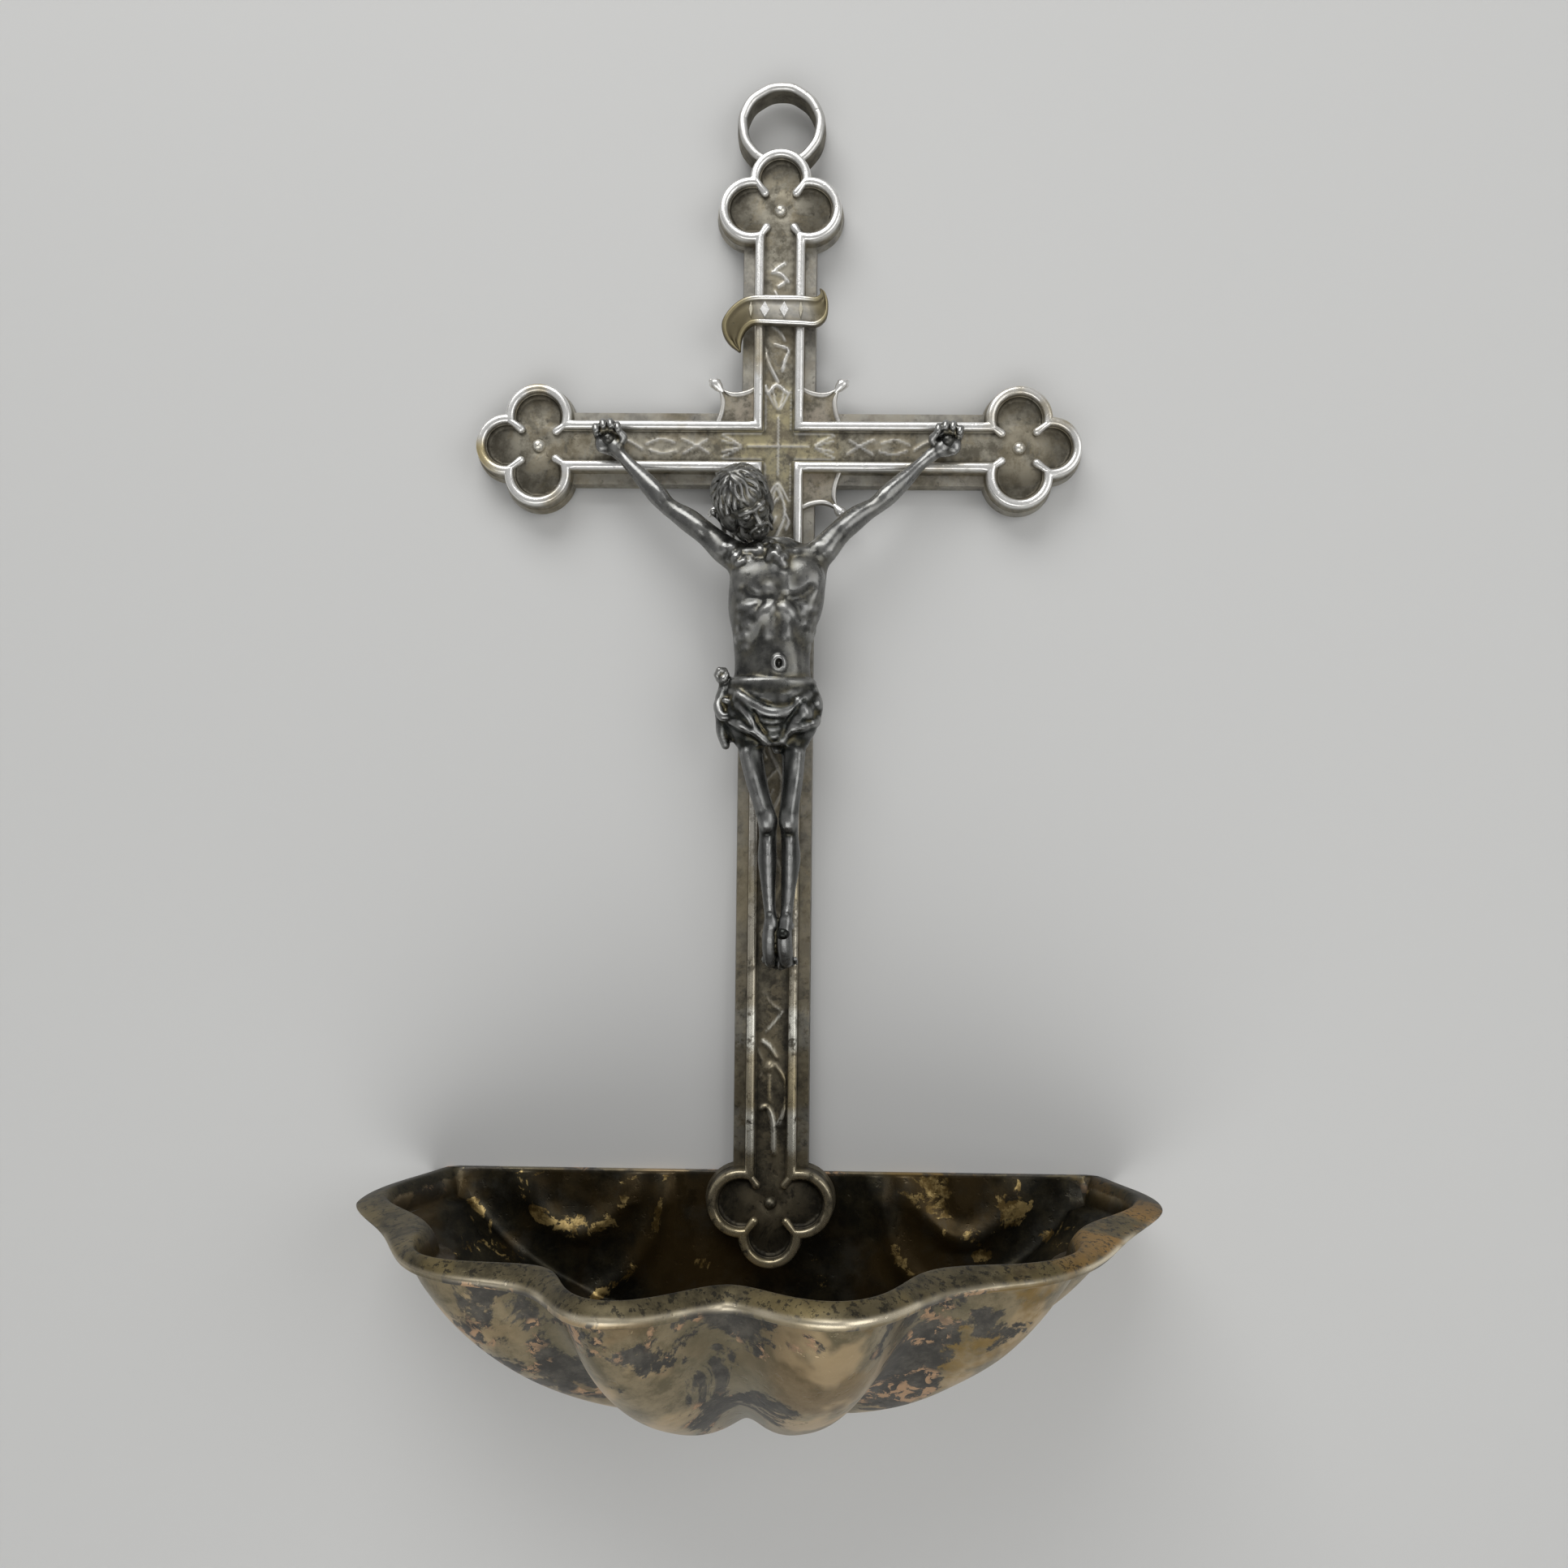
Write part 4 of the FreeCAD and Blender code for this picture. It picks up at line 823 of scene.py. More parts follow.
def buildRing():
    # A rounded band, open where it runs into the border of the top trefoil.
    section = []
    inner, outer, depth = ring["bore"], ring["bore"] + ring["band"], ring["depth"]
    for radius, (a, b), first in (
        (0.78, (inner, depth), 180), (0.78, (outer, depth), 90), (0.3, (outer + ring["draft"], 0), 0),
        (0.3, (inner, 0), -90),
    ):
        side = -1 if a > inner + 0.1 else 1
        lift = -1 if b > 1 else 1
        for step in range(7):
            turn = math.radians(first - 15 * step)
            section.append((
                a + side * radius + radius * math.cos(turn), b + lift * radius + radius * math.sin(turn),
            ))
    turns = np.radians(np.linspace(-90 + ring["gap"], 270 - ring["gap"], 120))
    rows = []
    for turn in turns:
        # the band is a little uneven, as filed by hand
        wave = 0.05 * math.sin(5 * turn + 0.6) + 0.04 * math.sin(11 * turn)
        rows.append([
            ((r + wave) * math.cos(turn), -ahead, (r + wave) * math.sin(turn)) for r, ahead in section
        ])
    cols = len(section)
    faces = gridFaces(len(rows), cols).tolist()
    faces += [list(range(cols)), list(range((len(rows) - 1) * cols, len(rows) * cols))]
    piece = addMesh("ring", np.vstack(rows), faces)
    fixNormals(piece)
    return finishPiece(piece, ringMaterial, "silvered_brass", "hanging_ring")


buildRing()


# The nimbus plate.
nimbus = {
    "panel": 0.86,
    # one quarter of its outline: a shallow scallop, the horn, then a deeper scallop
    "top": [(4.2, 11.9), (6.0, 11.0), (8.2, 10.6), (10.2, 11.1), (12.1, 12.5)],
    "side": [(12.1, 12.5), (11.2, 10.7), (10.95, 8.6), (11.25, 6.6), (12.1, 4.2)],
    "border": [
        (0.0, 0.0), (0.0, 0.85), (0.08, 1.08), (0.24, 1.19), (0.42, 1.2), (0.66, 1.17), (0.86, 1.04),
        (0.96, 0.86),
    ],
    "bud": [
        (12.7, 12.8, 0.50), (12.4, 12.6, 1.00), (11.9, 12.2, 1.15), (11.3, 11.5, 0.90), (10.7, 10.8, 0.40),
    ],
    "budHeight": 0.78,
}


def buildNimbus():
    quarter = np.vstack([smoothPath(nimbus["top"], 22)[:-1], smoothPath(nimbus["side"], 24)])
    loop = []
    for turn, mirror in enumerate(((1, 1), (-1, 1), (-1, -1), (1, -1))):
        loop.append((quarter if turn % 2 else quarter[::-1]) * mirror)
    loop = np.vstack(loop)
    before = loop - np.roll(loop, 1, axis=0)
    after = np.roll(loop, -1, axis=0) - loop
    normals = []
    for run in (before, after):
        normals.append(np.column_stack([-run[:, 1], run[:, 0]]) / (np.linalg.norm(
            run, axis=1,
        )[:, None] + 1e-9))
    inward = (normals[0] + normals[1]) / np.maximum(1 + (normals[0] * normals[1]).sum(axis=1), 0.35)[:, None]
    tip = np.hypot(np.abs(loop[:, 0]) - nimbus["top"][-1][0], np.abs(loop[:, 1]) - nimbus["top"][-1][1])
    room = 0.02 + 0.14 * tip + 0.3 * np.maximum(tip - 2.4, 0)
    verts = []
    polish = []
    for inset, height in nimbus["border"]:
        polish.append(float(blendTo(height, 0.9, 1.1)) * (0.55 + 0.45 * np.exp(-((tip / 2.6) ** 2))))
        spots = loop + inward * np.minimum(inset, room)[:, None]
        verts.append(np.column_stack([
            spots[:, 0], np.full(len(loop), layout["plateFront"] - height), spots[:, 1] + layout["crossing"],
        ]))
    count = len(loop)
    faces = gridFaces(len(verts), count).tolist()
    last = (len(verts) - 1) * count
    middle = len(verts) * count
    for height in (0.0, nimbus["panel"]):
        verts.append([(0, layout["plateFront"] - height, layout["crossing"])])
        polish.append(np.zeros(1))
    for index in range(count):
        after = (index + 1) % count
        faces += [[middle, after, index], [middle + 1, last + index, last + after]]
    base = middle + 2
    # a bud on the tip of each horn
    for a in (-1, 1):
        for c in (-1, 1):
            y = layout["plateFront"] - nimbus["budHeight"]
            bud, budFaces = ridgeMesh([
                (a * x, y, c * z + layout["crossing"], r) for x, z, r in nimbus["bud"]
            ])
            verts.append(bud)
            polish.append(np.ones(len(bud)))
            faces += (budFaces + base).tolist()
            base += len(bud)
    piece = addMesh("nimbus", np.vstack(verts), faces)
    setValues(piece, "polish", np.concatenate(polish))
    flags = [len(face) == 4 for face in faces]
    piece.data.polygons.foreach_set("use_smooth", flags)
    fixNormals(piece)
    return finishPiece(piece, nimbusMaterial, "silvered_brass", "nimbus_plate")


buildNimbus()
print("ring and nimbus built")


# The shell basin.
shell = {
    "depth": 31.8,
    # half width, reach, roundness right and left, groove depth in front and at the sides
    "inner": (63.5, 54.5, 1.7, 1.6, 10.6, 8.2),
    "outer": (69.5, 59.3, 1.65, 1.45, 11.0, 2.8),
    "centre": 20.0,
    "back": 54.0,
    "fluteAngle": math.radians(38.0),
    "sideAngle": math.radians(50),
    "fluteEnd": math.radians(112),
    "fluteFade": math.radians(17),
    "keel": 3.5,
    "bulge": 1.75,  # 2 makes the wall's profile a quarter ellipse, less a straighter one
    "fullDepth": 0.91,  # 1 less the square of the floor's share of the rim
    "lean": math.tan(math.radians(3.7)),
    "wall": 1.4,
    "foot": 5.0,
    "angles": 560,
    # cast ridges on the inside of the back wall, for one side: across and up from the rim, height
    "ridges": [
        (
            [(46.5, 1), (44.5, -5), (42, -8.5), (38.4, -11), (34, -11.5), (29.5, -8.5), (26, -4), (24.5, 1)],
            1.5,
        ),
        ([(19.5, 1), (20.5, -6), (22.5, -13), (26.5, -19), (32, -23)], 1.3),
        ([(58, -3), (54, -8), (49, -14), (44, -20)], 1.0),
    ],
    # worn spots there, partly painted highlight: across, up from the rim, reach and strength
    "wearAndHighlight": [
        (45.5, -4.2, 4.2, 1.7), (29.5, -2.8, 4.8, 1.45), (-45.3, -3.0, 3.2, 1.5), (-37.0, -10.4, 3.2, 1.4),
        (-13.5, -16.3, 2.8, 1.1), (9.0, -18.0, 3.0, 1.0), (40.0, -15.0, 3.0, 1.0),
    ],
}


def fluteWave(angle):
    # How far round from the front spots lie, then 1 in a groove and 0 on a ridge.
    off = np.abs((angle + np.pi) % (2 * np.pi) - np.pi)
    return off, 0.5 + 0.5 * np.cos(off * 2 * np.pi / shell["fluteAngle"])


def fluteDepth(angle, deep, sideDeep, sharp=1.0):
    off, wave = fluteWave(angle)
    side = np.minimum(off / shell["sideAngle"], 1)
    fade = np.clip((shell["fluteEnd"] - off) / shell["fluteFade"], 0, 1)
    return wave**sharp * fade * (deep + (sideDeep - deep) * side)


def planRadius(angle, half, reach, power, leftPower):
    across = np.abs(np.sin(angle))
    ahead = np.cos(angle)
    front = np.where(ahead > 0, reach, shell["back"])
    bulge = np.where(ahead > 0, np.where(np.sin(angle) > 0, power, leftPower), 2.0)
    return ((across / half) ** bulge + (np.abs(ahead) / front) ** bulge) ** (-1 / bulge)


def shellPoint(angle, radius, height, limit):
    # limit is how far behind the wall line a point may go, so that the back is flat.
    behind = -np.cos(angle)
    most = np.where(behind > 1e-3, (shell["centre"] + limit) / np.maximum(behind, 1e-3), 1e6)
    radius = np.minimum(radius, most)
    across = radius * np.sin(angle)
    ahead = shell["centre"] + radius * np.cos(angle)
    x = across - ahead * shell["lean"]
    ahead = ahead * (1 - shell["lean"] * across / shell["outer"][0])
    return np.column_stack([x, -ahead, layout["rim"] + height + 0 * angle])


def fallAt(share):
    arc = ((1 - math.cos(share * math.pi / 2) ** 2) / shell["fullDepth"]) ** (1 / shell["bulge"])
    return -0.02 * math.log(math.exp(-arc / 0.02) + math.exp(-1.0 / 0.02))


def bowlRadius(angle, share, grow):
    # share runs from 0 at the rim to 1 at the middle of the bottom.
    scale = math.cos(share * math.pi / 2)
    fall = fallAt(share)
    *plan, deep, sideDeep = shell["inner"]
    sharp = 1.0 + 0.5 * fall**2
    radius = planRadius(angle, *plan) - fluteDepth(angle, deep, sideDeep, sharp)
    keel = fluteDepth(angle, shell["keel"], shell["keel"], sharp) * fall**2 * min(1.0, scale / 0.3)
    narrow = 1 - 0.09 * fall * np.where(np.cos(angle) > 0, np.sin(angle) ** 2, 1.0)
    return radius * scale * narrow - keel + grow * min(1.0, scale / 0.2)


def bowlRow(angle, share, depth, grow, limit):
    return shellPoint(angle, bowlRadius(angle, share, grow), -depth * fallAt(share), limit)


def shareAt(depth):
    fall = (depth / shell["depth"]) ** shell["bulge"]
    return math.acos(math.sqrt(1 - shell["fullDepth"] * fall)) / (math.pi / 2)


def wallRelief(verts):
    # How high the cast ridges stand on the inside of the back wall, and how far it is worn to amber, partly
    # as painted highlight.
    height = verts[:, 2] - layout["rim"]
    strokes = []
    for side in (-1, 1):
        for path, size in shell["ridges"]:
            strokes.append(([(side * a, c) for a, c in path], 2.0, size))
    relief = strokeRelief(verts[:, 0], height, strokes)
    thin = [(path, 1.5, 0.7 if path[0][0] > 0 else 0.95) for path, _, _ in strokes]
    wearAndHighlight = strokeRelief(verts[:, 0], height, thin)
    for x, z, reach, most in shell["wearAndHighlight"]:
        wearAndHighlight = np.maximum(wearAndHighlight, most * np.exp(-(np.hypot(verts[:, 0] - x, height - z) / reach) ** 2))
    return relief, wearAndHighlight


def buildShell():
    angle = np.linspace(0, 2 * np.pi, shell["angles"], endpoint=False)
    rows = []
    marks = []
    inner = planRadius(angle, *shell["inner"][:4]) - fluteDepth(angle, *shell["inner"][4:])
    outer = planRadius(angle, *shell["outer"][:4]) - fluteDepth(angle, *shell["outer"][4:])
    ridge = 1 - fluteWave(angle)[1]
    behind = np.maximum(-np.cos(angle), 1e-3)
    most = np.where(np.cos(angle) < 0, (shell["centre"] + 0.7) / behind, 1e6)
    present = (np.minimum(outer, most) - np.minimum(inner, most)) / (outer - inner)
    present = blendTo(present, 0.05, 0.7)
    footShare = shareAt(shell["foot"])
    shares = np.linspace(0.995, footShare + 0.02, 56)
    for share in shares:
        rows.append(bowlRow(angle, share, shell["depth"] - shell["wall"], 0.0, 0.0))
        marks.append((1.0, 0.0, 0.0))
    # the lip's section: share of the way out, height, how far behind, flat height at the wall,
    # then how much of it shows as lip and as edge
    section = [
        (0.0, -5.0, 0.0, -0.8, 0, 0), (0.10, -2.2, 0.02, -0.25, 0.3, 0), (0.25, -0.5, 0.15, -0.05, 1, 0),
        (0.40, -0.1, 0.5, 0.0, 1, 0), (0.60, -0.45, 0.9, 0.0, 1, 0), (0.78, -1.05, 1.2, -0.02, 1, 0),
        (0.92, -1.70, 1.33, -0.1, 1, 0.1), (0.985, -2.15, 1.38, -0.2, 0.8, 1),
        (1.0, -2.5, 1.4, -0.5, 0.4, 0.9),
        (0.985, -2.9, 1.4, -1.0, 0, 0.2), (0.93, -3.35, 1.4, -1.6, 0, 0), (0.78, -3.1, 1.4, -2.0, 0, 0),
        (0.60, -2.3, 1.4, -2.3, 0, 0), (0.34, -2.1, 1.4, -3.0, 0, 0), (0.16, -3.4, 1.4, -4.4, 0, 0),
        (0.04, -6.2, 1.4, -6.4, 0, 0),
    ]
    under = len(section) - 5
    fine = smoothPath(section, 4 * (len(section) - 1) + 1)
    for index, (out, height, limit, flat, lipMark, edgeMark) in enumerate(fine):
        sag = 1 - 0.5 * np.sin(angle) ** 4 * min(max((out - 0.2) / 0.5, 0), 1)
        level = height * sag * present + flat * (1 - present)
        base = inner
        if index > 4 * under:
            wall = bowlRadius(angle, shareAt(-height), shell["wall"])
            base = inner + (wall - inner) * min((index - 4 * under) / 8, 1)
        rows.append(shellPoint(angle, base + (outer - base) * out, level, limit))
        marks.append((
            0.0 if limit > 0.6 or out > 0.3 else 1.0 - out / 0.3, min(max(lipMark, 0), 1),
            min(max(edgeMark, 0), 1),
        ))
    for share in np.linspace(shareAt(7.6), 0.995, 60):
        rows.append(bowlRow(angle, share, shell["depth"], shell["wall"], shell["wall"]))
        marks.append((0.0, 0.0, 0.0))
    count = len(angle)
    total = len(rows)
    verts = np.vstack(rows)
    within = np.repeat([mark[0] for mark in marks], count)
    relief, amber = wallRelief(verts)
    near = np.exp(-((verts[:, 1] / 6.0) ** 2)) * within
    verts[:, 1] -= relief * near * blendTo(layout["rim"] - verts[:, 2], 0.2, 2.5)
    # the unevenness of a hand-finished casting
    waves = np.sin(verts[:, 0] / 5.3 + 1.1) * np.sin(verts[:, 2] / 4.1) + np.sin(verts[
        :, 0,
    ] / 2.9 + verts[:, 2] / 3.7)
    free = blendTo(-verts[:, 1], 3.0, 9.0)
    verts[:, 1] += 0.12 * waves * free
    faces = gridFaces(total, count).tolist()
    poles = [verts[:count].mean(axis=0), verts[-count:].mean(axis=0)]
    base = len(verts)
    verts = np.vstack([verts, poles])
    for index in range(count):
        after = (index + 1) % count
        faces.append([base, after, index])
        faces.append([base + 1, (total - 1) * count + index, (total - 1) * count + after])
    piece = addMesh("shellBowl", verts, faces)
    fixNormals(piece)
    for column, name in enumerate(("inside", "lip", "edge")):
        values = np.repeat([mark[column] for mark in marks], count)
        if name in ("lip", "edge"):
            values = values * np.tile(np.clip(present * 1.2, 0, 1), total)
        setValues(piece, name, np.append(values, [1.0 if column == 0 else 0.0, 0.0]))
    setValues(piece, "ridge", np.append(np.tile(ridge, total), [0.5, 0.5]))
    # a painted highlight streak on the inside of the left wall
    streak = np.exp(-((verts[:-2, 0] + 55.0) / 4.0) ** 2 - ((verts[:-2, 1] + 19.0) / 9.0) ** 2) * within
    setValues(piece, "amber", np.append(np.maximum(amber * near, 1.15 * streak), [0.0, 0.0]))
    return finishPiece(piece, shellMaterial, "shell_brass", "shell_bowl")


buildShell()
print("shell built")


# Clay is a grid of distances to a surface, which shapes are merged into.
def newClay(low, high, step):
    axes = [np.arange(a, b + step, step) for a, b in zip(low, high)]
    field = np.full([len(axis) for axis in axes], 6.0, np.float32)
    return {"axes": axes, "step": step, "field": field}


def block(clay, low, high):
    cuts = []
    grids = []
    for index, axis in enumerate(clay["axes"]):
        first = max(int(np.searchsorted(axis, low[index])) - 1, 0)
        last = min(int(np.searchsorted(axis, high[index])) + 1, len(axis))
        cuts.append(slice(first, last))
        shape = [1, 1, 1]
        shape[index] = last - first
        grids.append(axis[first:last].reshape(shape).astype(np.float32))
    return tuple(cuts), grids


def mergeClay(clay, cuts, distance, soft, carve=False):
    old = clay["field"][cuts]
    if carve:
        mix = np.maximum(soft - np.abs(old + distance), 0) if soft else 0
        clay["field"][cuts] = np.maximum(old, -distance) + (mix * mix / (4 * soft) if soft else 0)
    else:
        mix = np.maximum(soft - np.abs(old - distance), 0) if soft else 0
        clay["field"][cuts] = np.minimum(old, distance) - (mix * mix / (4 * soft) if soft else 0)


def ball(clay, centre, radii, soft=1.0, carve=False, turn=0.0):
    # An ellipsoid. turn, in degrees, leans its third axis within the first and third axes.
    radii = np.array(radii, float)
    reach = (np.max(radii) if turn else radii) + soft + 0.5
    cuts, (a, b, c) = block(clay, np.array(centre) - reach, np.array(centre) + reach)
    a, b, c = a - centre[0], b - centre[1], c - centre[2]
    if turn:
        co, si = math.cos(math.radians(turn)), math.sin(math.radians(turn))
        a, c = a * co - c * si, a * si + c * co
    near = np.sqrt((a / radii[0]) ** 2 + (b / radii[1]) ** 2 + (c / radii[2]) ** 2)
    slope = np.sqrt((a / radii[0] ** 2) ** 2 + (b / radii[1] ** 2) ** 2 + (c / radii[2] ** 2) ** 2)
    mergeClay(clay, cuts, near * (near - 1) / np.maximum(slope, 1e-6), soft, carve)


def tube(clay, points, soft=0.6, carve=False, curved=True, flat=1.0):
    # Points carry their own radius. flat above 1 thins the tube in the second axis.
    points = np.asarray(points, float)
    if curved and len(points) > 2:
        points = smoothPath(points, 4 * (len(points) - 1) + 1)
    reach = points[:, 3].max() + soft + 0.5
    cuts, (a, b, c) = block(clay, points[:, :3].min(axis=0) - reach, points[:, :3].max(axis=0) + reach)
    best = None
    for first, last in zip(points[:-1], points[1:]):
        run = last[:3] - first[:3]
        run = run * [1, flat, 1]
        da, db, dc = a - first[0], (b - first[1]) * flat, c - first[2]
        share = np.clip((da * run[0] + db * run[1] + dc * run[2]) / max(run @ run, 1e-9), 0, 1)
        away = np.sqrt((da - share * run[0]) ** 2 + (db - share * run[1]) ** 2 + (dc - share * run[2]) ** 2)
        away = away - (first[3] + (last[3] - first[3]) * share)
        best = away if best is None else np.minimum(best, away)
    mergeClay(clay, cuts, best.astype(np.float32), soft, carve)


def trunk(clay, levels, soft=1.0, power=2.2):
    # Ovals stacked along the third axis: its value, then centre and half size on the other two.
    levels = smoothPath(levels, 6 * (len(levels) - 1) + 1)
    wide = levels[:, 2].max() + soft + 1
    low = [levels[:, 1].min() - wide, levels[:, 3].min() - wide, levels[0, 0] - soft - 1]
    high = [levels[:, 1].max() + wide, levels[:, 3].max() + wide, levels[-1, 0] + soft + 1]
    cuts, (a, b, c) = block(clay, low, high)
    at = [np.interp(c, levels[:, 0], levels[:, column]) for column in range(1, 5)]
    across = np.abs(a - at[0]) / at[1]
    ahead = np.abs(b - at[2]) / at[3]
    near = (across**power + ahead**power) ** (1 / power)
    slope = np.sqrt((across / at[1]) ** 2 + (ahead / at[3]) ** 2) / np.maximum(near, 1e-6)
    away = (near - 1) / np.maximum(slope, 1e-3)
    away = np.maximum(away, np.maximum(levels[0, 0] - c, c - levels[-1, 0]))
    mergeClay(clay, cuts, away.astype(np.float32), soft)


def onSurface(clay, a, c):
    # How far forward the sculpture comes at a place seen from the front.
    i = int(np.clip(np.searchsorted(clay["axes"][0], a), 0, len(clay["axes"][0]) - 1))
    k = int(np.clip(np.searchsorted(clay["axes"][2], c), 0, len(clay["axes"][2]) - 1))
    column = clay["field"][i, :, k]
    inside = np.nonzero(column < 0)[0]
    if not len(inside):
        return 0.0
    j = inside[-1]
    if j + 1 >= len(column):
        return float(clay["axes"][1][j])
    share = column[j] / (column[j] - column[j + 1])
    return float(clay["axes"][1][j] + share * clay["step"])


def crease(clay, path, radius, lift=0.0, soft=0.3, carve=False):
    # A line laid on the sculpture's front, raised or cut. The path gives places across and down.
    path = smoothPath(path, 5 * (len(path) - 1) + 1)
    points = [(a, onSurface(clay, a, c) + lift, c, radius * r) for a, c, r in path]
    tube(clay, points, soft, carve, curved=False)


def surfaceOf(clay):
    # The sculpture's skin as quads, one corner in each cell that the skin crosses.
    field = clay["field"]
    inside = field < 0
    shape = [size - 1 for size in field.shape]
    corners = [(a, b, c) for a in (0, 1) for b in (0, 1) for c in (0, 1)]
    filled = np.zeros(shape, np.int8)
    for a, b, c in corners:
        filled += inside[a:a + shape[0], b:b + shape[1], c:c + shape[2]]
    cells = np.argwhere((filled > 0) & (filled < 8))
    index = np.full(shape, -1, np.int64)
    index[tuple(cells.T)] = np.arange(len(cells))
    total = np.zeros((len(cells), 3))
    hits = np.zeros(len(cells))
    for axis in range(3):
        step = np.eye(3, dtype=int)[axis]
        for corner in corners:
            if corner[axis]:
                continue
            first = cells + corner
            a = field[tuple(first.T)]
            b = field[tuple((first + step).T)]
            crossed = (a < 0) != (b < 0)
            share = np.where(crossed, a / np.where(crossed, a - b, 1), 0)
            total[crossed] += (np.array(corner) + share[:, None] * step)[crossed]
            hits += crossed
    verts = (cells + total / hits[:, None]) * clay["step"] + [axis[0] for axis in clay["axes"]]
    faces = []
    for axis in range(3):
        other, third = (axis + 1) % 3, (axis + 2) % 3
        low = [slice(None)] * 3
        high = [slice(None)] * 3
        low[axis] = slice(0, -1)
        high[axis] = slice(1, None)
        turned = inside[tuple(low)] != inside[tuple(high)]
        spots = np.argwhere(turned)
        keep = (spots[:, other] > 0) & (spots[:, third] > 0)
        keep &= (spots[:, other] < shape[other]) & (spots[:, third] < shape[third])
        spots = spots[keep]
        quad = []
        for da, db in ((-1, -1), (0, -1), (0, 0), (-1, 0)):
            near = spots.copy()
            near[:, other] += da
            near[:, third] += db
            quad.append(index[tuple(near.T)])
        quad = np.column_stack(quad)
        outward = inside[tuple(spots.T)]
        quad[~outward] = quad[~outward][:, ::-1]
        faces.append(quad[(quad >= 0).all(axis=1)])
    return verts, np.vstack(faces)


# The figure.
figure = {
    "bodyStep": 0.30,  # the clay's grid
    "headStep": 0.16,
    "bodyRounds": 6,  # how far round the surface a high or hollow spot is judged
    "headRounds": 8,
    "standOut": 0.10,  # what counts as fully high or hollow
    "backGap": 0.02,
}


def beside(line, station, offset, radius):
    # A tube's point set off from a limb's station. A half lies between two stations.
    low = int(station)
    share = station - low
    spot = (1 - share) * line[low][:3] + share * line[min(low + 1, len(line) - 1)][:3]
    return (*(spot + offset), radius)


def addMuscles(clay, line, muscles):
    for *spots, soft in muscles:
        tube(clay, [beside(line, *spot) for spot in spots], soft)


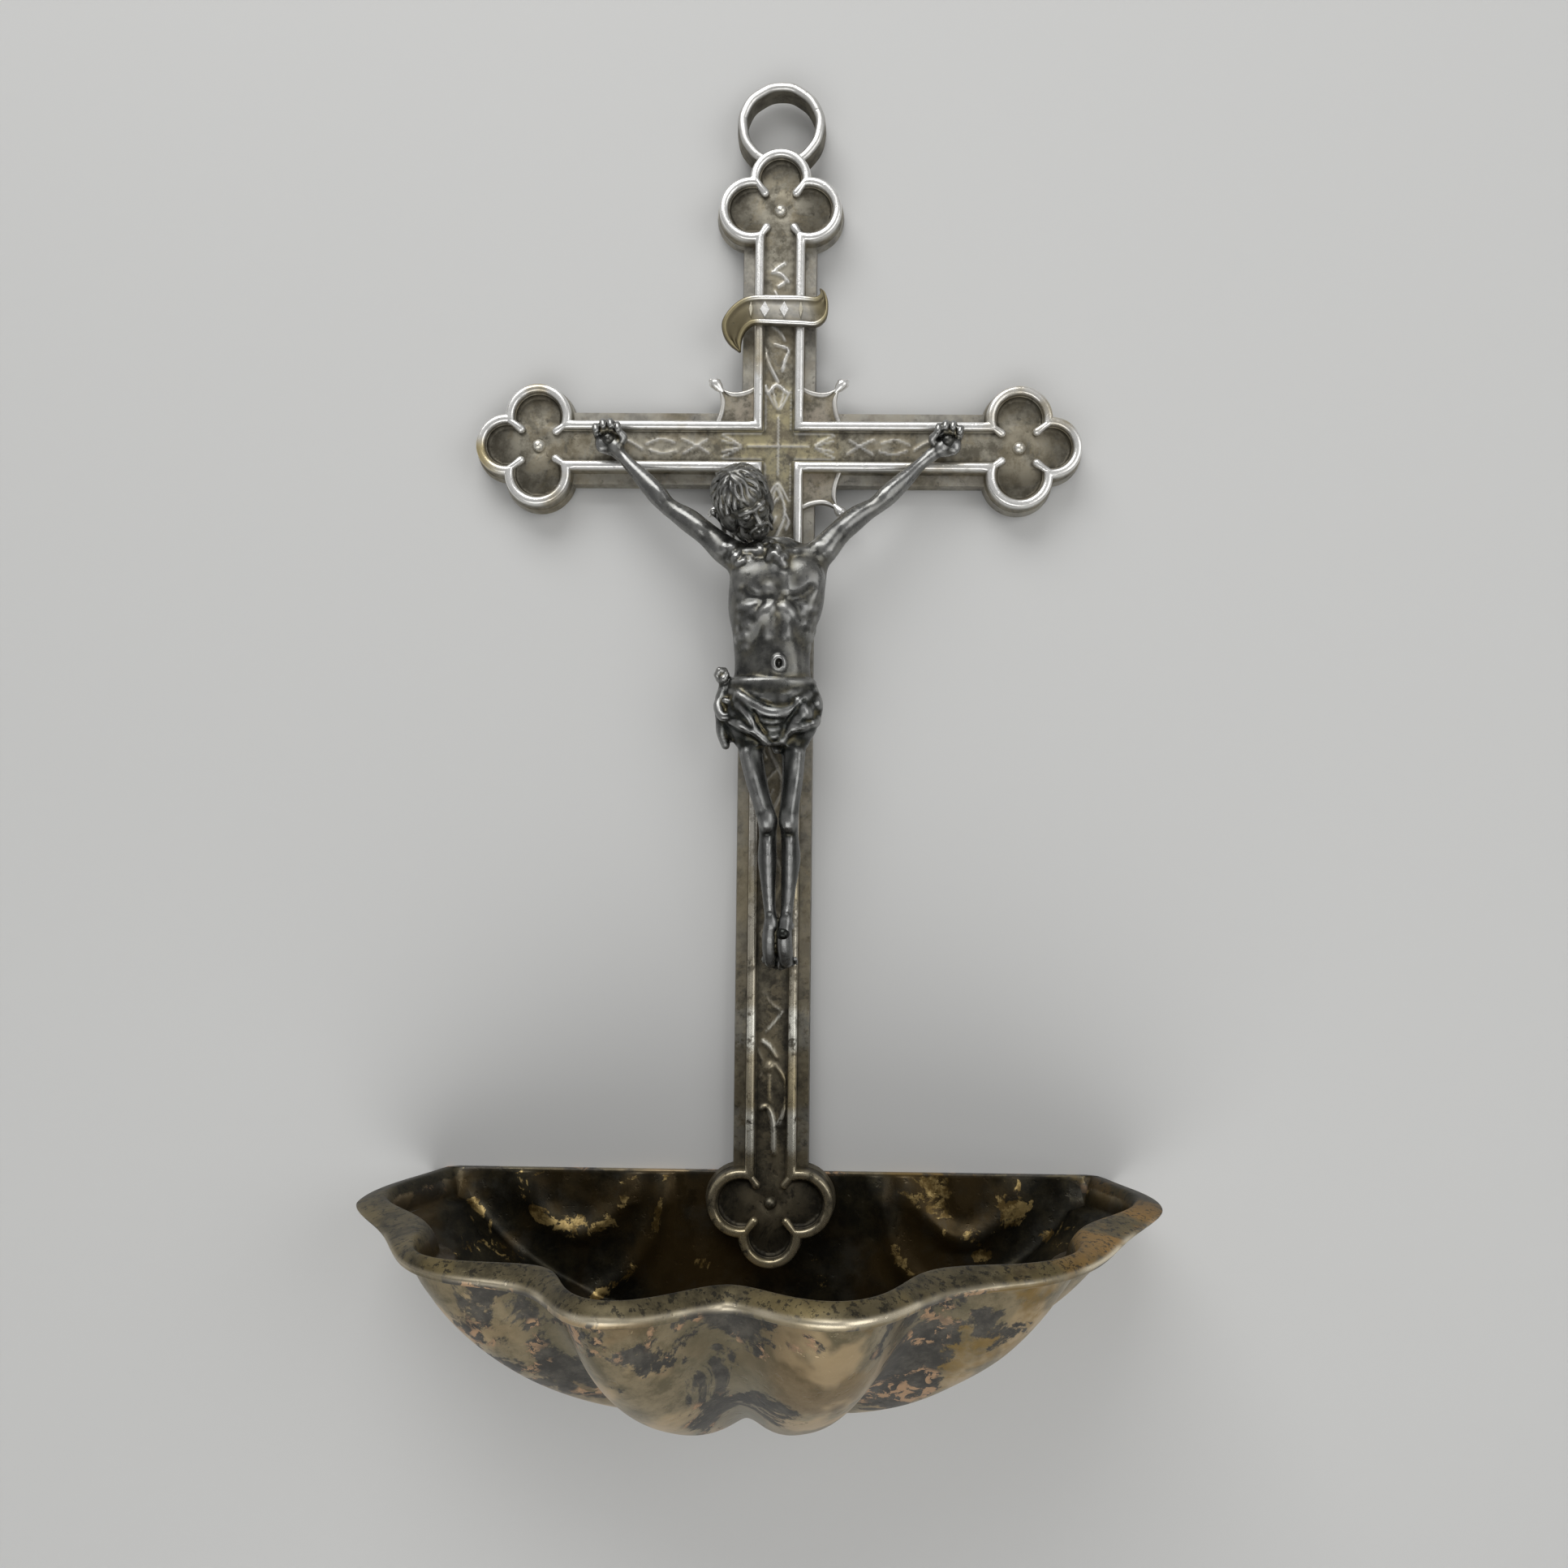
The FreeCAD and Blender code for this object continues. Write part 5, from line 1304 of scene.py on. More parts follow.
# Its own directions are across, forward from the frame's front, and down from the crossing.
def bodyClay():
    clay = newClay((-36, -0.6, -7), (36, 13.5, 99), figure["bodyStep"])
    trunk(clay, [
        (18.6, -0.4, 3.0, 4.6, 2.0), (20.4, 0.1, 6.2, 4.4, 2.9), (22.6, 0.3, 8.4, 4.3, 3.8),
        (25.6, 0.4, 8.8, 4.4, 4.7), (29.5, 0.1, 8.3, 4.5, 5.1),
        (33.5, -0.4, 7.7, 4.3, 4.9), (38.0, -0.6, 7.0, 4.0, 4.2), (43.0, -0.5, 6.9, 3.8, 3.9),
        (48.0, -0.5, 7.6, 3.9, 4.2), (53.0, -0.5, 7.9, 3.9, 4.1), (56.5, -0.5, 6.6, 3.8, 3.2),
    ])
    # chest, belly and flanks
    for lump in (
        ((-4.1, 7.35, 26.8), (3.9, 1.8, 3.4), 1.8),
        ((4.6, 7.45, 26.4), (3.9, 1.8, 3.4), 1.8),
        ((0.3, 6.5, 35.6), (3.4, 2.3, 5.4), 2.2),
        ((0.3, 6.4, 42.2), (4.4, 2.3, 4.8), 2.2),
        ((-5.6, 4.4, 30.6), (2.6, 3.6, 4.6), 1.8),
        ((5.8, 4.4, 30.2), (2.6, 3.6, 4.6), 1.8),
        ((0.3, 8.3, 25.6), (1.2, 1.2, 4.2), 2.0),
    ):
        ball(clay, *lump)
    # upright muscles at each side of the middle line
    crease(clay, [(-1.0, 28.8, 0.6), (-1.2, 32.4, 1), (-1.1, 36.4, 0.7)], 0.95, -0.80, 1.6)
    crease(clay, [(2.0, 26.6, 0.6), (2.2, 31.4, 1), (2.0, 36.6, 0.7)], 0.95, -0.78, 1.6)
    middle = 0.3
    for side in (-1, 1):
        arch = [(1.2, 32.4, 0.6), (3.0, 33.6, 1), (4.7, 36.2, 1), (5.4, 38.4, 0.5)]
        crease(clay, [(middle + side * a, c, r) for a, c, r in arch], 0.60, -0.55, 1.8)
        fold = [(1.6, 30.2, 0.6), (4.0, 30.4, 1), (6.2, 28.8, 0.6)]
        crease(clay, [(middle + side * a, c, r) for a, c, r in fold], 0.34, 0.31, 1.8, True)
        for rib in range(4):
            top = 31.2 + 1.75 * rib
            near = 3.8 + 0.6 * rib
            line = [(near, top, 0.4), (near + 1.5, top + 0.9, 1), (6.3, top + 0.6, 0.5)]
            crease(clay, [(middle + side * a, c, r) for a, c, r in line], 0.36, -0.30, 1.4)
        # collar bone
        bone = [(1.2, 22.0, 0.6), (3.6, 21.5, 1), (6.0, 21.0, 0.6)]
        crease(clay, [(middle + side * a, c, r) for a, c, r in bone], 0.40, -0.27, 1.4)
    # the belly's soft swell round the navel
    ball(clay, (0.8, 7.9, 42.0), (1.7, 1.15, 1.9), 0.9)
    rim = [
        (0.8 + 0.95 * math.cos(turn), 42.0 + 1.1 * math.sin(turn), 1)
        for turn in np.linspace(0, 2 * math.pi, 9)
    ]
    crease(clay, rim, 0.45, -0.18, 0.3)
    ball(clay, (0.8, 9.2, 42.0), (0.50, 0.9, 0.75), 0.4, True)
    # arms, shoulder to wrist
    arms = {
        -1: [
            (-6.2, 4.6, 22.6, 2.9), (-9.2, 4.8, 20.9, 2.65), (-12.6, 4.6, 18.0, 2.15),
            (-15.9, 4.2, 15.4, 2.15), (-18.6, 3.9, 13.6, 1.75), (-20.2, 3.8, 12.4, 1.65),
            (-22.0, 3.7, 10.4, 1.85), (-24.6, 3.1, 7.4, 1.6), (-27.4, 2.3, 4.4, 1.2), (-29.4, 1.8, 2.2, 1.12),
        ],
        1: [
            (6.4, 4.6, 22.6, 2.9), (8.6, 4.8, 20.7, 2.65), (11.3, 4.6, 17.6, 2.2), (14.2, 4.3, 14.9, 2.15),
            (16.6, 4.0, 13.2, 1.75), (18.2, 3.9, 12.2, 1.65), (20.4, 3.7, 10.2, 1.85), (23.4, 3.0, 7.2, 1.6),
            (26.0, 2.2, 4.4, 1.2), (28.3, 1.8, 2.3, 1.12),
        ],
    }
    for side, line in arms.items():
        tube(clay, line, 1.2)
        near = np.array(line)
        addMuscles(clay, near, (
            ((2, (0, 0.9, 0.1), 0.9), (2.5, (0, 1.15, 0), 1.35), (4, (0, 0.6, 0), 0.6), 0.7),
            ((5, (0, 0.5, -0.4), 0.5), (6, (0, 0.7, -0.7), 1.0), (8, (0, 0.3, -0.2), 0.4), 0.6),
            ((1, (-side, 1.6, -0.4), 0.7), (1, (side * 0.9, 1.2, 0.2), 1.3), (2, (0, 0.5, 0), 0.6), 0.8),
        ))
        # hand: palm to the front, fingers curled up over the nail
        wrist = near[-1][:3]
        palm = np.array((side * 31.2, 1.5, 0.1))
        tube(clay, [(*wrist, 1.1), (*(wrist * 0.4 + palm * 0.6), 1.3), (*palm, 1.5)], 0.7, flat=1.1)
        ball(clay, palm, (2.75, 1.35, 2.4), 0.8, turn=side * 20)
        ball(clay, palm + [-side * 1.2, 0.7, 1.0], (1.3, 1.0, 1.3), 0.5)
        ball(clay, palm + [side * 1.4, 0.5, 0.6], (1.2, 0.9, 1.5), 0.5)
        for finger, (out, up, curl) in enumerate((
            (2.15, -1.2, 1.9), (0.95, -1.8, 2.3), (-0.3, -1.9, 2.3), (-1.5, -1.5, 1.9),
        )):
            root = palm + [side * out, 0.2, up]
            middle = root + [side * (0.30 - 0.1 * finger), 0.9, -0.45 * curl]
            tip = root + [side * (0.20 - 0.12 * finger), 1.75, -0.60 * curl]
            end = root + [side * (0.05 - 0.12 * finger), 2.2, -0.60 * curl + 0.9]
            tube(clay, [(*root, 0.80), (*middle, 0.74), (*tip, 0.68), (*end, 0.58)], 0.16)
        root = palm + [-side * 2.0, 0.5, 0.4]
        tube(
            clay,
            [
                (*root, 0.85), (*(root + [-side * 0.8, 0.8, -0.9]), 0.74),
                (*(root + [side * 0.1, 1.5, -1.9]), 0.60),
            ],
            0.25,
        )
    # legs
    legs = {
        -1: [
            (-4.0, 3.6, 50, 3.5), (-4.3, 4.3, 54.5, 2.65), (-4.1, 4.9, 58, 2.2), (-3.2, 5.5, 62.5, 1.95),
            (-2.0, 6.0, 66.8, 1.75),
            (-1.1, 6.1, 69.8, 1.75), (-0.95, 5.2, 73, 1.55), (-0.9, 4.6, 77, 1.62), (-0.8, 4.1, 81, 1.42),
            (-0.5, 3.6, 86, 1.12), (-0.1, 3.4, 89, 1.15),
        ],
        1: [
            (3.2, 3.6, 50, 3.5), (3.4, 4.3, 54.5, 2.6), (3.5, 4.9, 58, 2.15), (3.4, 5.5, 62.5, 1.9),
            (3.0, 6.0, 66.8, 1.75),
            (2.8, 6.1, 69.8, 1.75), (3.0, 5.2, 73, 1.55), (3.1, 4.6, 77, 1.62), (2.9, 4.1, 81, 1.42),
            (2.6, 3.9, 86, 1.12), (2.4, 3.9, 88.6, 1.15),
        ],
    }
    for side, line in legs.items():
        tube(clay, line, 0.7)
        near = np.array(line)
        knee = near[5][:3] + [0, 1.1, 0.2]
        ball(clay, knee, (1.2, 0.9, 1.7), 1.1)
        addMuscles(clay, near, (
            ((6, (0, 1.3, 0.5), 0.45), (8, (0.1, 1.25, 0), 0.45), (9, (0.1, 1.0, 0), 0.35), 0.8),
            (
                (6, (side * 0.7, -0.9, 0.6), 0.8), (7, (side * 0.6, -0.8, 0.3), 1.2),
                (8, (side * 0.2, -0.6, 1), 0.6), 0.8,
            ),
            (
                (2, (side * 0.9, 1.4, 0), 0.8), (3, (side * 0.5, 1.5, 0), 1.1),
                (4, (side * 0.2, 1.3, 1.0), 0.6), 0.9,
            ),
        ))
    # feet, the right one laid over the left
    tube(
        clay,
        [(-0.2, 3.3, 88.4, 1.3), (-0.4, 2.7, 91.0, 1.5), (-0.4, 2.0, 93.6, 1.5), (-0.3, 1.4, 95.6, 1.3)], 0.4,
    )
    tube(
        clay, [(2.4, 3.9, 88.2, 1.2), (2.2, 3.9, 90.6, 1.35), (2.3, 3.2, 93.2, 1.45), (2.6, 2.4, 95.4, 1.3)],
        0.3,
    )
    ball(clay, (-1.1, 3.0, 89.2), (0.5, 0.7, 0.6), 0.3)
    ball(clay, (3.5, 3.7, 89.0), (0.5, 0.7, 0.6), 0.3)
    for toe in range(5):
        size = 0.56 - 0.05 * toe
        a = 1.5 + 0.68 * toe
        tube(
            clay,
            [
                (a, 2.6, 95.0, size), (a + 0.05 * toe, 2.2, 96.4 - 0.2 * toe, size),
                (a + 0.06 * toe, 1.8, 96.9 - 0.22 * toe, size * 0.8),
            ],
            0.15,
        )
        a = 0.7 - 0.6 * toe
        tube(
            clay,
            [
                (a, 1.7, 95.0, size), (a, 1.4, 96.3 - 0.2 * toe, size * 0.95),
                (a, 1.0, 96.8 - 0.22 * toe, size * 0.8),
            ],
            0.15,
        )
    return clay


def drapeClay(clay):
    # The loincloth: a short wrapped sheet with a turned hem, a swag and a knot at the left.
    trunk(clay, [
        (45.0, -0.6, 7.7, 3.9, 4.8), (48.0, -0.6, 8.1, 4.0, 5.1), (51.0, -0.5, 8.1, 4.0, 4.9),
        (53.0, -0.5, 7.7, 3.9, 4.3),
    ], 0.4)
    trunk(
        clay,
        [
            (44.2, -0.6, 7.6, 3.9, 4.6), (45.0, -0.6, 8.2, 3.9, 5.15), (46.4, -0.6, 8.1, 3.9, 5.0),
            (47.0, -0.6, 7.7, 3.9, 4.7),
        ],
        0.5,
    )
    for side in (-1, 1):
        tube(clay, [(side * 4.5 - 0.4, 4.6, 49.5, 3.8), (side * 4.6 - 0.3, 4.8, 52.2, 3.5)], 0.9)
    tube(clay, [(0.1, 6.2, 51.0, 2.6), (0.3, 5.6, 54.0, 1.8), (0.5, 5.0, 57.2, 0.8)], 0.8)
    for fold in (
        ([(-7.6, 47.0, 0.7), (-5.0, 47.9, 1), (-2.6, 48.6, 0.6)], 0.95, -0.70, 1.0),
        ([(1.6, 48.2, 0.5), (3.6, 47.4, 1), (5.2, 46.8, 0.7)], 0.90, -0.66, 1.0),
        (
            [
                (-6.4, 47.6, 0.6), (-4.1, 49.4, 1), (-0.5, 50.9, 1.1), (3.1, 50.3, 1), (5.4, 48.2, 1),
                (7.0, 46.6, 0.6),
            ],
            0.95, -0.48, 0.7,
        ),
        (
            [(-6.8, 48.6, 0.6), (-5.8, 50.1, 1), (-4.5, 52.2, 1), (-3.0, 54.2, 0.9), (-1.4, 55.8, 0.5)], 1.20,
            -0.62, 0.7,
        ),
        ([(-8.0, 49.4, 0.6), (-7.2, 51.2, 1), (-6.0, 52.8, 0.6)], 1.00, -0.62, 0.8),
    ):
        crease(clay, *fold)
    for across, down, half in ((-0.3, 52.3, 2.1), (-0.2, 53.6, 1.7), (-0.1, 54.8, 1.2)):
        crease(
            clay,
            [(across - half, down - 0.3, 0.6), (across, down + 0.15, 1), (across + half, down - 0.3, 0.6)],
            0.62, -0.36, 0.5,
        )
    for fold in (
        ([(3.1, 53.3, 0.7), (5.0, 51.2, 1), (7.1, 48.8, 0.7)], 1.05, -0.56, 0.7),
        ([(4.3, 48.7, 0.6), (5.6, 50.6, 1), (6.8, 52.4, 0.7)], 0.90, -0.50, 0.7),
        ([(6.9, 46.0, 0.6), (7.7, 49.0, 1), (7.4, 52.4, 0.7)], 1.10, -0.60, 0.8),
        ([(-8.2, 52.2, 0.7), (-5.6, 53.2, 1), (-3.2, 54.4, 1), (-1.2, 56.0, 0.9)], 0.70, -0.34, 0.6),
        ([(1.6, 55.6, 0.9), (3.2, 53.8, 1), (5.4, 53.1, 1), (7.8, 52.2, 0.7)], 0.70, -0.34, 0.6),
    ):
        crease(clay, *fold)
    # grooves between the folds
    for line in (
        [(-5.6, 46.9, 0.6), (-3.4, 48.2, 1), (-0.6, 49.2, 0.8)],
        [(-3.6, 50.8, 0.7), (-2.8, 52.6, 1), (-1.6, 54.2, 0.7)],
        [(2.4, 52.4, 0.6), (4.0, 50.2, 1), (5.6, 48.4, 0.6)],
        [(-6.6, 50.6, 0.6), (-5.4, 52.0, 1), (-4.2, 53.6, 0.6)],
    ):
        crease(clay, line, 0.30, 0.10, 0.6, True)
    # knot and its tails
    ball(clay, (-8.9, 4.8, 50.0), (2.0, 2.0, 2.7), 0.5)
    ball(clay, (-9.5, 5.0, 43.9), (0.9, 1.2, 0.9), 0.3)
    for turn in range(6):
        angle = turn * math.pi / 3
        after = angle + math.pi / 3
        loop = [
            (-9.6 + 0.8 * math.cos(t), 5.8 + 0.3 * math.sin(2 * t), 43.8 + 0.9 * math.sin(t), 0.6)
            for t in (angle, after)
        ]
        tube(clay, loop, 0.3, curved=False)
    for limb in (
        ([(-8.9, 4.4, 44.9, 1.2), (-8.9, 4.8, 46.4, 1.4), (-9.3, 5.0, 48.0, 1.5)], 0.6),
        (
            [
                (-9.4, 5.6, 47.8, 0.8), (-10.1, 6.2, 49.4, 0.95), (-9.3, 6.9, 51.4, 0.9),
                (-7.8, 7.0, 51.0, 0.8), (-7.7, 7.0, 49.2, 0.7), (-8.8, 7.0, 48.6, 0.6),
            ],
            0.35,
        ),
        ([(-9.2, 4.4, 51.4, 1.5), (-9.3, 3.8, 54.0, 1.3), (-8.9, 3.2, 56.4, 0.8)], 0.5),
        ([(-8.1, 5.0, 51.6, 1.2), (-8.0, 4.6, 53.6, 1.1), (-7.8, 4.0, 55.2, 0.7)], 0.4),
    ):
        tube(clay, *limb)
    # locks of hair that lie on the shoulders
    for index, (across, down) in enumerate((
        (-8.8, 20.6), (-7.4, 21.4), (-6.0, 22.0), (-4.5, 22.2), (-3.4, 21.4), (-8.0, 22.4), (-6.6, 23.2),
        (-5.0, 23.4), (-1.4, 20.6), (-0.3, 21.6), (0.8, 22.4), (1.5, 23.4), (-0.2, 23.0),
    )):
        first = 1.3 * index
        curl = []
        for step in range(5):
            angle = first + 1.15 * step
            wide = 0.78 - 0.11 * step
            curl.append((across + wide * math.cos(angle), down + wide * math.sin(angle), 1.0 - 0.12 * step))
        crease(clay, curl, 0.80, -0.42, 0.45)
    return clay


def headClay():
    # Local directions: right, forward and down, with the head upright and its middle at zero.
    clay = newClay((-8.2, -7.0, -6.6), (8.2, 6.6, 11.4), figure["headStep"])
    for lump in (
        ((0, -0.7, -1.3), (3.85, 4.45, 3.95), 0.8),
        ((0, 0.9, 1.1), (3.05, 3.1, 4.1), 0.8),
        ((0, 2.2, 4.1), (1.5, 1.4, 1.1), 0.8),
    ):
        ball(clay, *lump)
    tube(clay, [(0, -1.6, 2.0, 2.3), (0.3, -2.6, 6.0, 2.3), (0.6, -3.6, 8.6, 2.6)], 0.8)
    for side in (-1, 1):
        ball(clay, (side * 1.75, 2.35, 1.75), (1.15, 1.1, 1.15), 0.8)
        tube(
            clay,
            [(side * 0.35, 3.95, -0.75, 0.35), (side * 1.4, 3.85, -1.0, 0.42), (side * 2.4, 3.1, -0.6, 0.3)],
            0.5,
        )
        ball(clay, (side * 1.35, 4.15, 0.15), (0.95, 0.62, 0.62), 0.4, True)
        ball(clay, (side * 1.38, 3.35, 0.2), (0.78, 0.62, 0.52), 0.15)
        tube(
            clay,
            [(side * 0.75, 3.75, 0.42, 0.06), (side * 1.4, 4.02, 0.58, 0.07), (side * 2.1, 3.55, 0.40, 0.06)],
            0.08, True,
        )
        ball(clay, (side * 0.48, 4.45, 1.95), (0.42, 0.42, 0.36), 0.25)
    for limb in (
        ([(0, 3.85, -0.6, 0.42), (0, 4.25, 0.6, 0.42), (0, 4.85, 1.65, 0.50), (0, 4.75, 1.95, 0.42)], 0.35),
        ([(-0.9, 3.7, 3.12, 0.12), (0, 4.15, 3.02, 0.22), (0.9, 3.7, 3.12, 0.12)], 0.15),
        ([(-0.75, 3.7, 3.45, 0.12), (0, 4.05, 3.5, 0.26), (0.75, 3.7, 3.45, 0.12)], 0.15),
    ):
        tube(clay, *limb)
    # beard, moustache
    ball(clay, (0, 2.3, 5.0), (2.0, 1.6, 1.5), 0.5)
    for side in (-1, 1):
        tube(
            clay,
            [
                (side * 0.15, 4.3, 2.55, 0.26), (side * 0.9, 4.1, 2.75, 0.30), (side * 1.6, 3.4, 3.6, 0.30),
                (side * 1.7, 2.8, 4.6, 0.34),
            ],
            0.12,
        )
        for strand in range(5):
            out = 0.35 + 0.42 * strand
            tube(
                clay,
                [
                    (side * out, 3.6 - 0.35 * strand, 4.2 - 0.25 * strand, 0.30),
                    (side * (out + 0.15), 3.4 - 0.4 * strand, 5.6 - 0.35 * strand, 0.34),
                    (side * (0.3 + 0.35 * strand), 2.7 - 0.35 * strand, 6.7 - 0.5 * strand, 0.22),
                ],
                0.08,
            )
    # hair: a cap, then strands from the parting down the sides and back
    ball(clay, (0, -1.3, -1.4), (4.45, 4.45, 4.25), 0.3)
    for side in (-1, 1):
        ball(clay, (side * 3.6, -0.8, 1.6), (1.4, 2.6, 3.4), 0.5)
    ball(clay, (0, -3.4, 2.0), (3.6, 2.4, 4.2), 0.5)
    rng = np.random.default_rng(5)
    for side in (-1, 1):
        for strand in range(18):
            turn = math.radians(-84 + 12.4 * strand)
            reach = 1.0 + 0.05 * rng.random()
            points = []
            for share in np.linspace(0, 1, 11):
                rise = math.pi / 2 * (1 - 1.28 * share)
                wave = 0.30 * math.sin(14 * share + strand * 2.1)
                flatness = math.cos(rise) if rise > 0 else 1.0
                a = side * (0.12 + 4.4 * reach * flatness * math.cos(turn)) + wave * math.sin(turn)
                b = -1.3 - 4.45 * reach * flatness * math.sin(turn) + wave * math.cos(turn)
                c = -1.4 - 4.25 * reach * math.sin(rise) if rise > 0 else -1.4 + 5.0 * (share - 0.78) * 4.2
                points.append((a, b, c, 0.42 + 0.10 * math.sin(11 * share + strand)))
            if strand < 3:
                points = points[:8]
            elif strand < 5:
                points = points[:9]
            tube(clay, points, 0.10)
        # long locks that reach the shoulders
        for lock in range(4):
            a = side * (3.3 + 0.55 * lock)
            b = 0.9 - 1.25 * lock
            points = []
            for share in np.linspace(0, 1, 8):
                curl = 0.38 * math.sin(7.5 * share + lock * 1.9)
                points.append((
                    a + curl - side * 0.8 * share, b + 0.3 * math.cos(7.5 * share + lock) - 0.8 * share,
                    1.0 + (7.0 + 0.5 * lock) * share, 0.62 - 0.26 * share,
                ))
            tube(clay, points, 0.12)
    return clay


head = {"centre": (-5.6, 8.8, 13.0), "roll": -24.0, "pitch": 52.0, "yaw": 10.0, "size": 1.04}


def headPlaced(verts):
    roll, pitch, yaw = (math.radians(head[key]) for key in ("roll", "pitch", "yaw"))
    # across, forward and down: pitch lowers the face, roll swings the chin to the right
    nod = np.array([[1, 0, 0], [0, math.cos(pitch), -math.sin(pitch)], [0, math.sin(pitch), math.cos(pitch)]])
    lean = np.array([[math.cos(roll), 0, -math.sin(roll)], [0, 1, 0], [math.sin(roll), 0, math.cos(roll)]])
    look = np.array([[math.cos(yaw), math.sin(yaw), 0], [-math.sin(yaw), math.cos(yaw), 0], [0, 0, 1]])
    return verts @ (lean @ nod @ look).T * head["size"] + head["centre"]


def curvature(verts, faces, rounds):
    # How far each corner stands out from the average of its surroundings.
    count = len(verts)
    edges = np.vstack([faces[:, [0, 1]], faces[:, [1, 2]], faces[:, [2, 3]], faces[:, [3, 0]]])
    degree = np.bincount(edges.ravel(), minlength=count).astype(float)
    normal = np.cross(verts[faces[:, 2]] - verts[faces[:, 0]], verts[faces[:, 3]] - verts[faces[:, 1]])
    normals = np.zeros((count, 3))
    for corner in range(4):
        np.add.at(normals, faces[:, corner], normal)
    normals /= np.linalg.norm(normals, axis=1)[:, None] + 1e-9
    soft = verts.copy()
    for _ in range(rounds):
        total = np.zeros((count, 3))
        for axis in range(3):
            total[:, axis] = np.bincount(edges[:, 0], soft[edges[:, 1], axis], count)
            total[:, axis] += np.bincount(edges[:, 1], soft[edges[:, 0], axis], count)
        soft = total / np.maximum(degree, 1)[:, None]
    return ((verts - soft) * normals).sum(axis=1)


def buildFigure():
    body = drapeClay(bodyClay())
    # flat back, against the cross
    _, (_, b, _) = block(body, (-99, -99, -99), (99, 99, 99))
    body["field"] = np.maximum(body["field"], figure["backGap"] - b)
    verts, faces = surfaceOf(body)
    print("body", len(faces))
    bulge = curvature(verts, faces, figure["bodyRounds"])
    skull, skullFaces = surfaceOf(headClay())
    print("head", len(skullFaces))
    skullBulge = curvature(skull, skullFaces, figure["headRounds"])
    placed = headPlaced(skull)
    placed[:, 1] = np.maximum(placed[:, 1], 0.1)
    every = np.vstack([verts, placed])
    faces = np.vstack([faces, skullFaces + len(verts)])
    out = np.column_stack([every[:, 0], layout["frameFront"] - every[:, 1], layout["crossing"] - every[:, 2]])
    piece = addMesh("figure", out, faces)
    stand = np.concatenate([bulge, skullBulge]) / figure["standOut"]
    setValues(piece, "high", np.clip(stand, 0, 1))
    setValues(piece, "hollow", np.clip(-stand, 0, 1))
    return finishPiece(piece, figureMaterial, "blackened_silver", "corpus")


buildFigure()
print("figure built")


# The pieces kept from the frame.
def dressNode(name, material, bevel=0.0):
    piece = nodes[name]
    piece.data.materials.clear()
    piece.data.materials.append(material)
    if bevel:
        rounded = piece.modifiers.new("edges", "BEVEL")
        rounded.width = bevel * mm
        rounded.segments = 3
        rounded.limit_method = "ANGLE"
        rounded.angle_limit = math.radians(40)


dressNode("cross_back_plate", plateMaterial, 0.25)
for rivet in ("trefoil_rivet_top", "trefoil_rivet_left", "trefoil_rivet_right"):
    dressNode(rivet, rivetMaterial)
dressNode("bowl_rivet", dullMaterial)
for pin in ("hand_pin_left", "hand_pin_right", "foot_pin"):
    dressNode(pin, pinMaterial)
for nut in ("hand_nut_left", "hand_nut_right", "foot_nut"):
    dressNode(nut, nutMaterial, 0.15)
print("kept pieces dressed")


# The stage.
stage = {
    "half": 900,
    "wall": 1.5,  # just clear of the basin's flat back
    "front": -1200,
    "floor": -500,
    "top": 700,
}


def makeStage():
    material = bpy.data.materials.new("paper")
    material.use_nodes = True
    tree = material.node_tree
    shader = tree.nodes["Principled BSDF"]
    shader.inputs["Base Color"].default_value = (0.62, 0.62, 0.61, 1)
    shader.inputs["Roughness"].default_value = 0.9
    clear = tree.nodes.new("ShaderNodeBsdfTransparent")
    mix = tree.nodes.new("ShaderNodeMixShader")
    facing = tree.nodes.new("ShaderNodeNewGeometry")
    tree.links.new(facing.outputs["Backfacing"], mix.inputs[0])
    tree.links.new(shader.outputs[0], mix.inputs[1])
    tree.links.new(clear.outputs[0], mix.inputs[2])
    tree.links.new(mix.outputs[0], tree.nodes["Material Output"].inputs[0])
    side, back, front = stage["half"], stage["wall"], stage["front"]
    low, high = stage["floor"], stage["top"]
    corners = [(-side, back, low), (side, back, low)]
    wall = addMesh("wall", corners + [(side, back, high), (-side, back, high)], [[0, 1, 2, 3]], False)
    floor = addMesh("floor", corners + [(side, front, low), (-side, front, low)], [[0, 3, 2, 1]], False)
    for piece in (wall, floor):
        piece.data.materials.append(material)


makeStage()


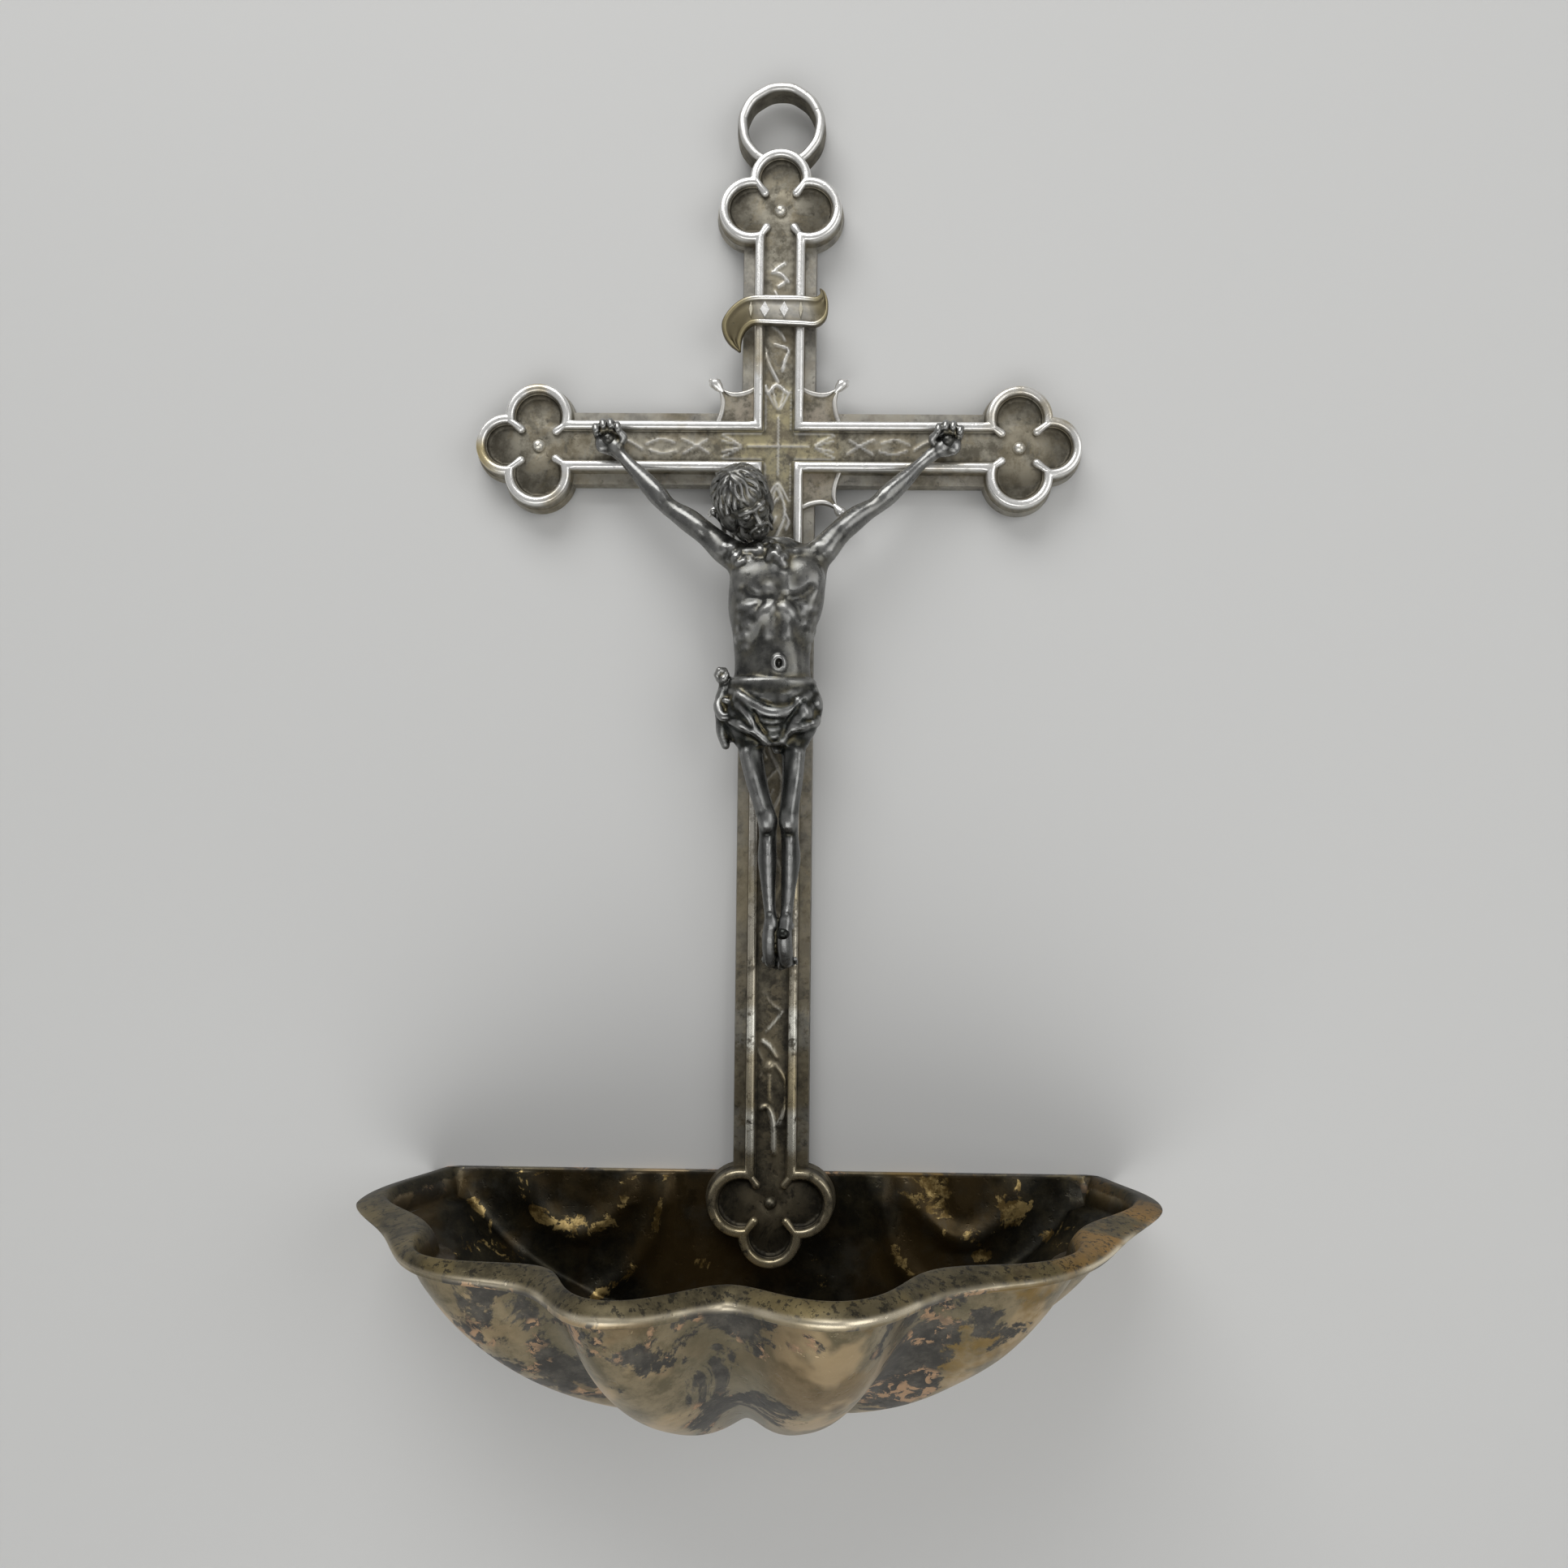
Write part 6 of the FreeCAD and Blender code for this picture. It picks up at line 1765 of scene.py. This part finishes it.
def makeLight(name, place, aim, size, power):
    light = bpy.data.lights.new(name, "AREA")
    light.shape = "RECTANGLE"
    light.size, light.size_y = size
    light.energy = power
    piece = bpy.data.objects.new(name, light)
    piece.location = Vector(place) * mm
    piece.rotation_euler = (Vector(aim) * mm - piece.location).to_track_quat("-Z", "Y").to_euler()
    bpy.context.scene.collection.objects.link(piece)


makeLight("softbox", (-160, -430, 430), (0, -10, -120), (0.55, 0.40), 2.6)
makeLight("fill", (420, -480, -60), (0, -10, -120), (0.40, 0.50), 0.9)
makeLight("lift", (-60, -420, -420), (0, -30, -180), (0.50, 0.30), 0.8)
world = bpy.data.worlds.new("studio")
world.use_nodes = True
world.node_tree.nodes["Background"].inputs[0].default_value = (0.80, 0.80, 0.80, 1)
world.node_tree.nodes["Background"].inputs[1].default_value = 0.36
bpy.context.scene.world = world
bpy.context.scene.view_settings.view_transform = "Standard"


# The camera.
view = {
    "turns": (1.0, -2.39044594, 0.59576674),  # yaw, pitch and roll in degrees
    "place": (6.20690954, -259.21176444, -135.10464379),
    "sensor": 36.0,
    "focal": 1700.0,  # both in pixels of the full frame
    "frame": 1932.0,
}


def makeCamera():
    yaw, pitch, roll = (math.radians(value) for value in view["turns"])
    start = Matrix(((1, 0, 0), (0, 0, -1), (0, 1, 0)))
    about = Matrix(((math.cos(yaw), 0, math.sin(yaw)), (0, 1, 0), (-math.sin(yaw), 0, math.cos(yaw))))
    tip = Matrix(((1, 0, 0), (0, math.cos(pitch), -math.sin(pitch)), (0, math.sin(pitch), math.cos(pitch))))
    lean = Matrix(((math.cos(roll), -math.sin(roll), 0), (math.sin(roll), math.cos(roll), 0), (0, 0, 1)))
    rows = lean @ tip @ about @ start
    right, down, forward = rows[0], rows[1], rows[2]
    place = Matrix((right, -down, -forward)).transposed().to_4x4()
    place.translation = Vector(view["place"]) * mm
    lens = bpy.data.cameras.new("camera")
    lens.sensor_width = view["sensor"]
    lens.lens = view["focal"] * view["sensor"] / view["frame"]
    lens.clip_start = 0.01
    camera = bpy.data.objects.new("camera", lens)
    camera.matrix_world = place
    bpy.context.scene.collection.objects.link(camera)
    bpy.context.scene.camera = camera


makeCamera()
print("stage and camera set")
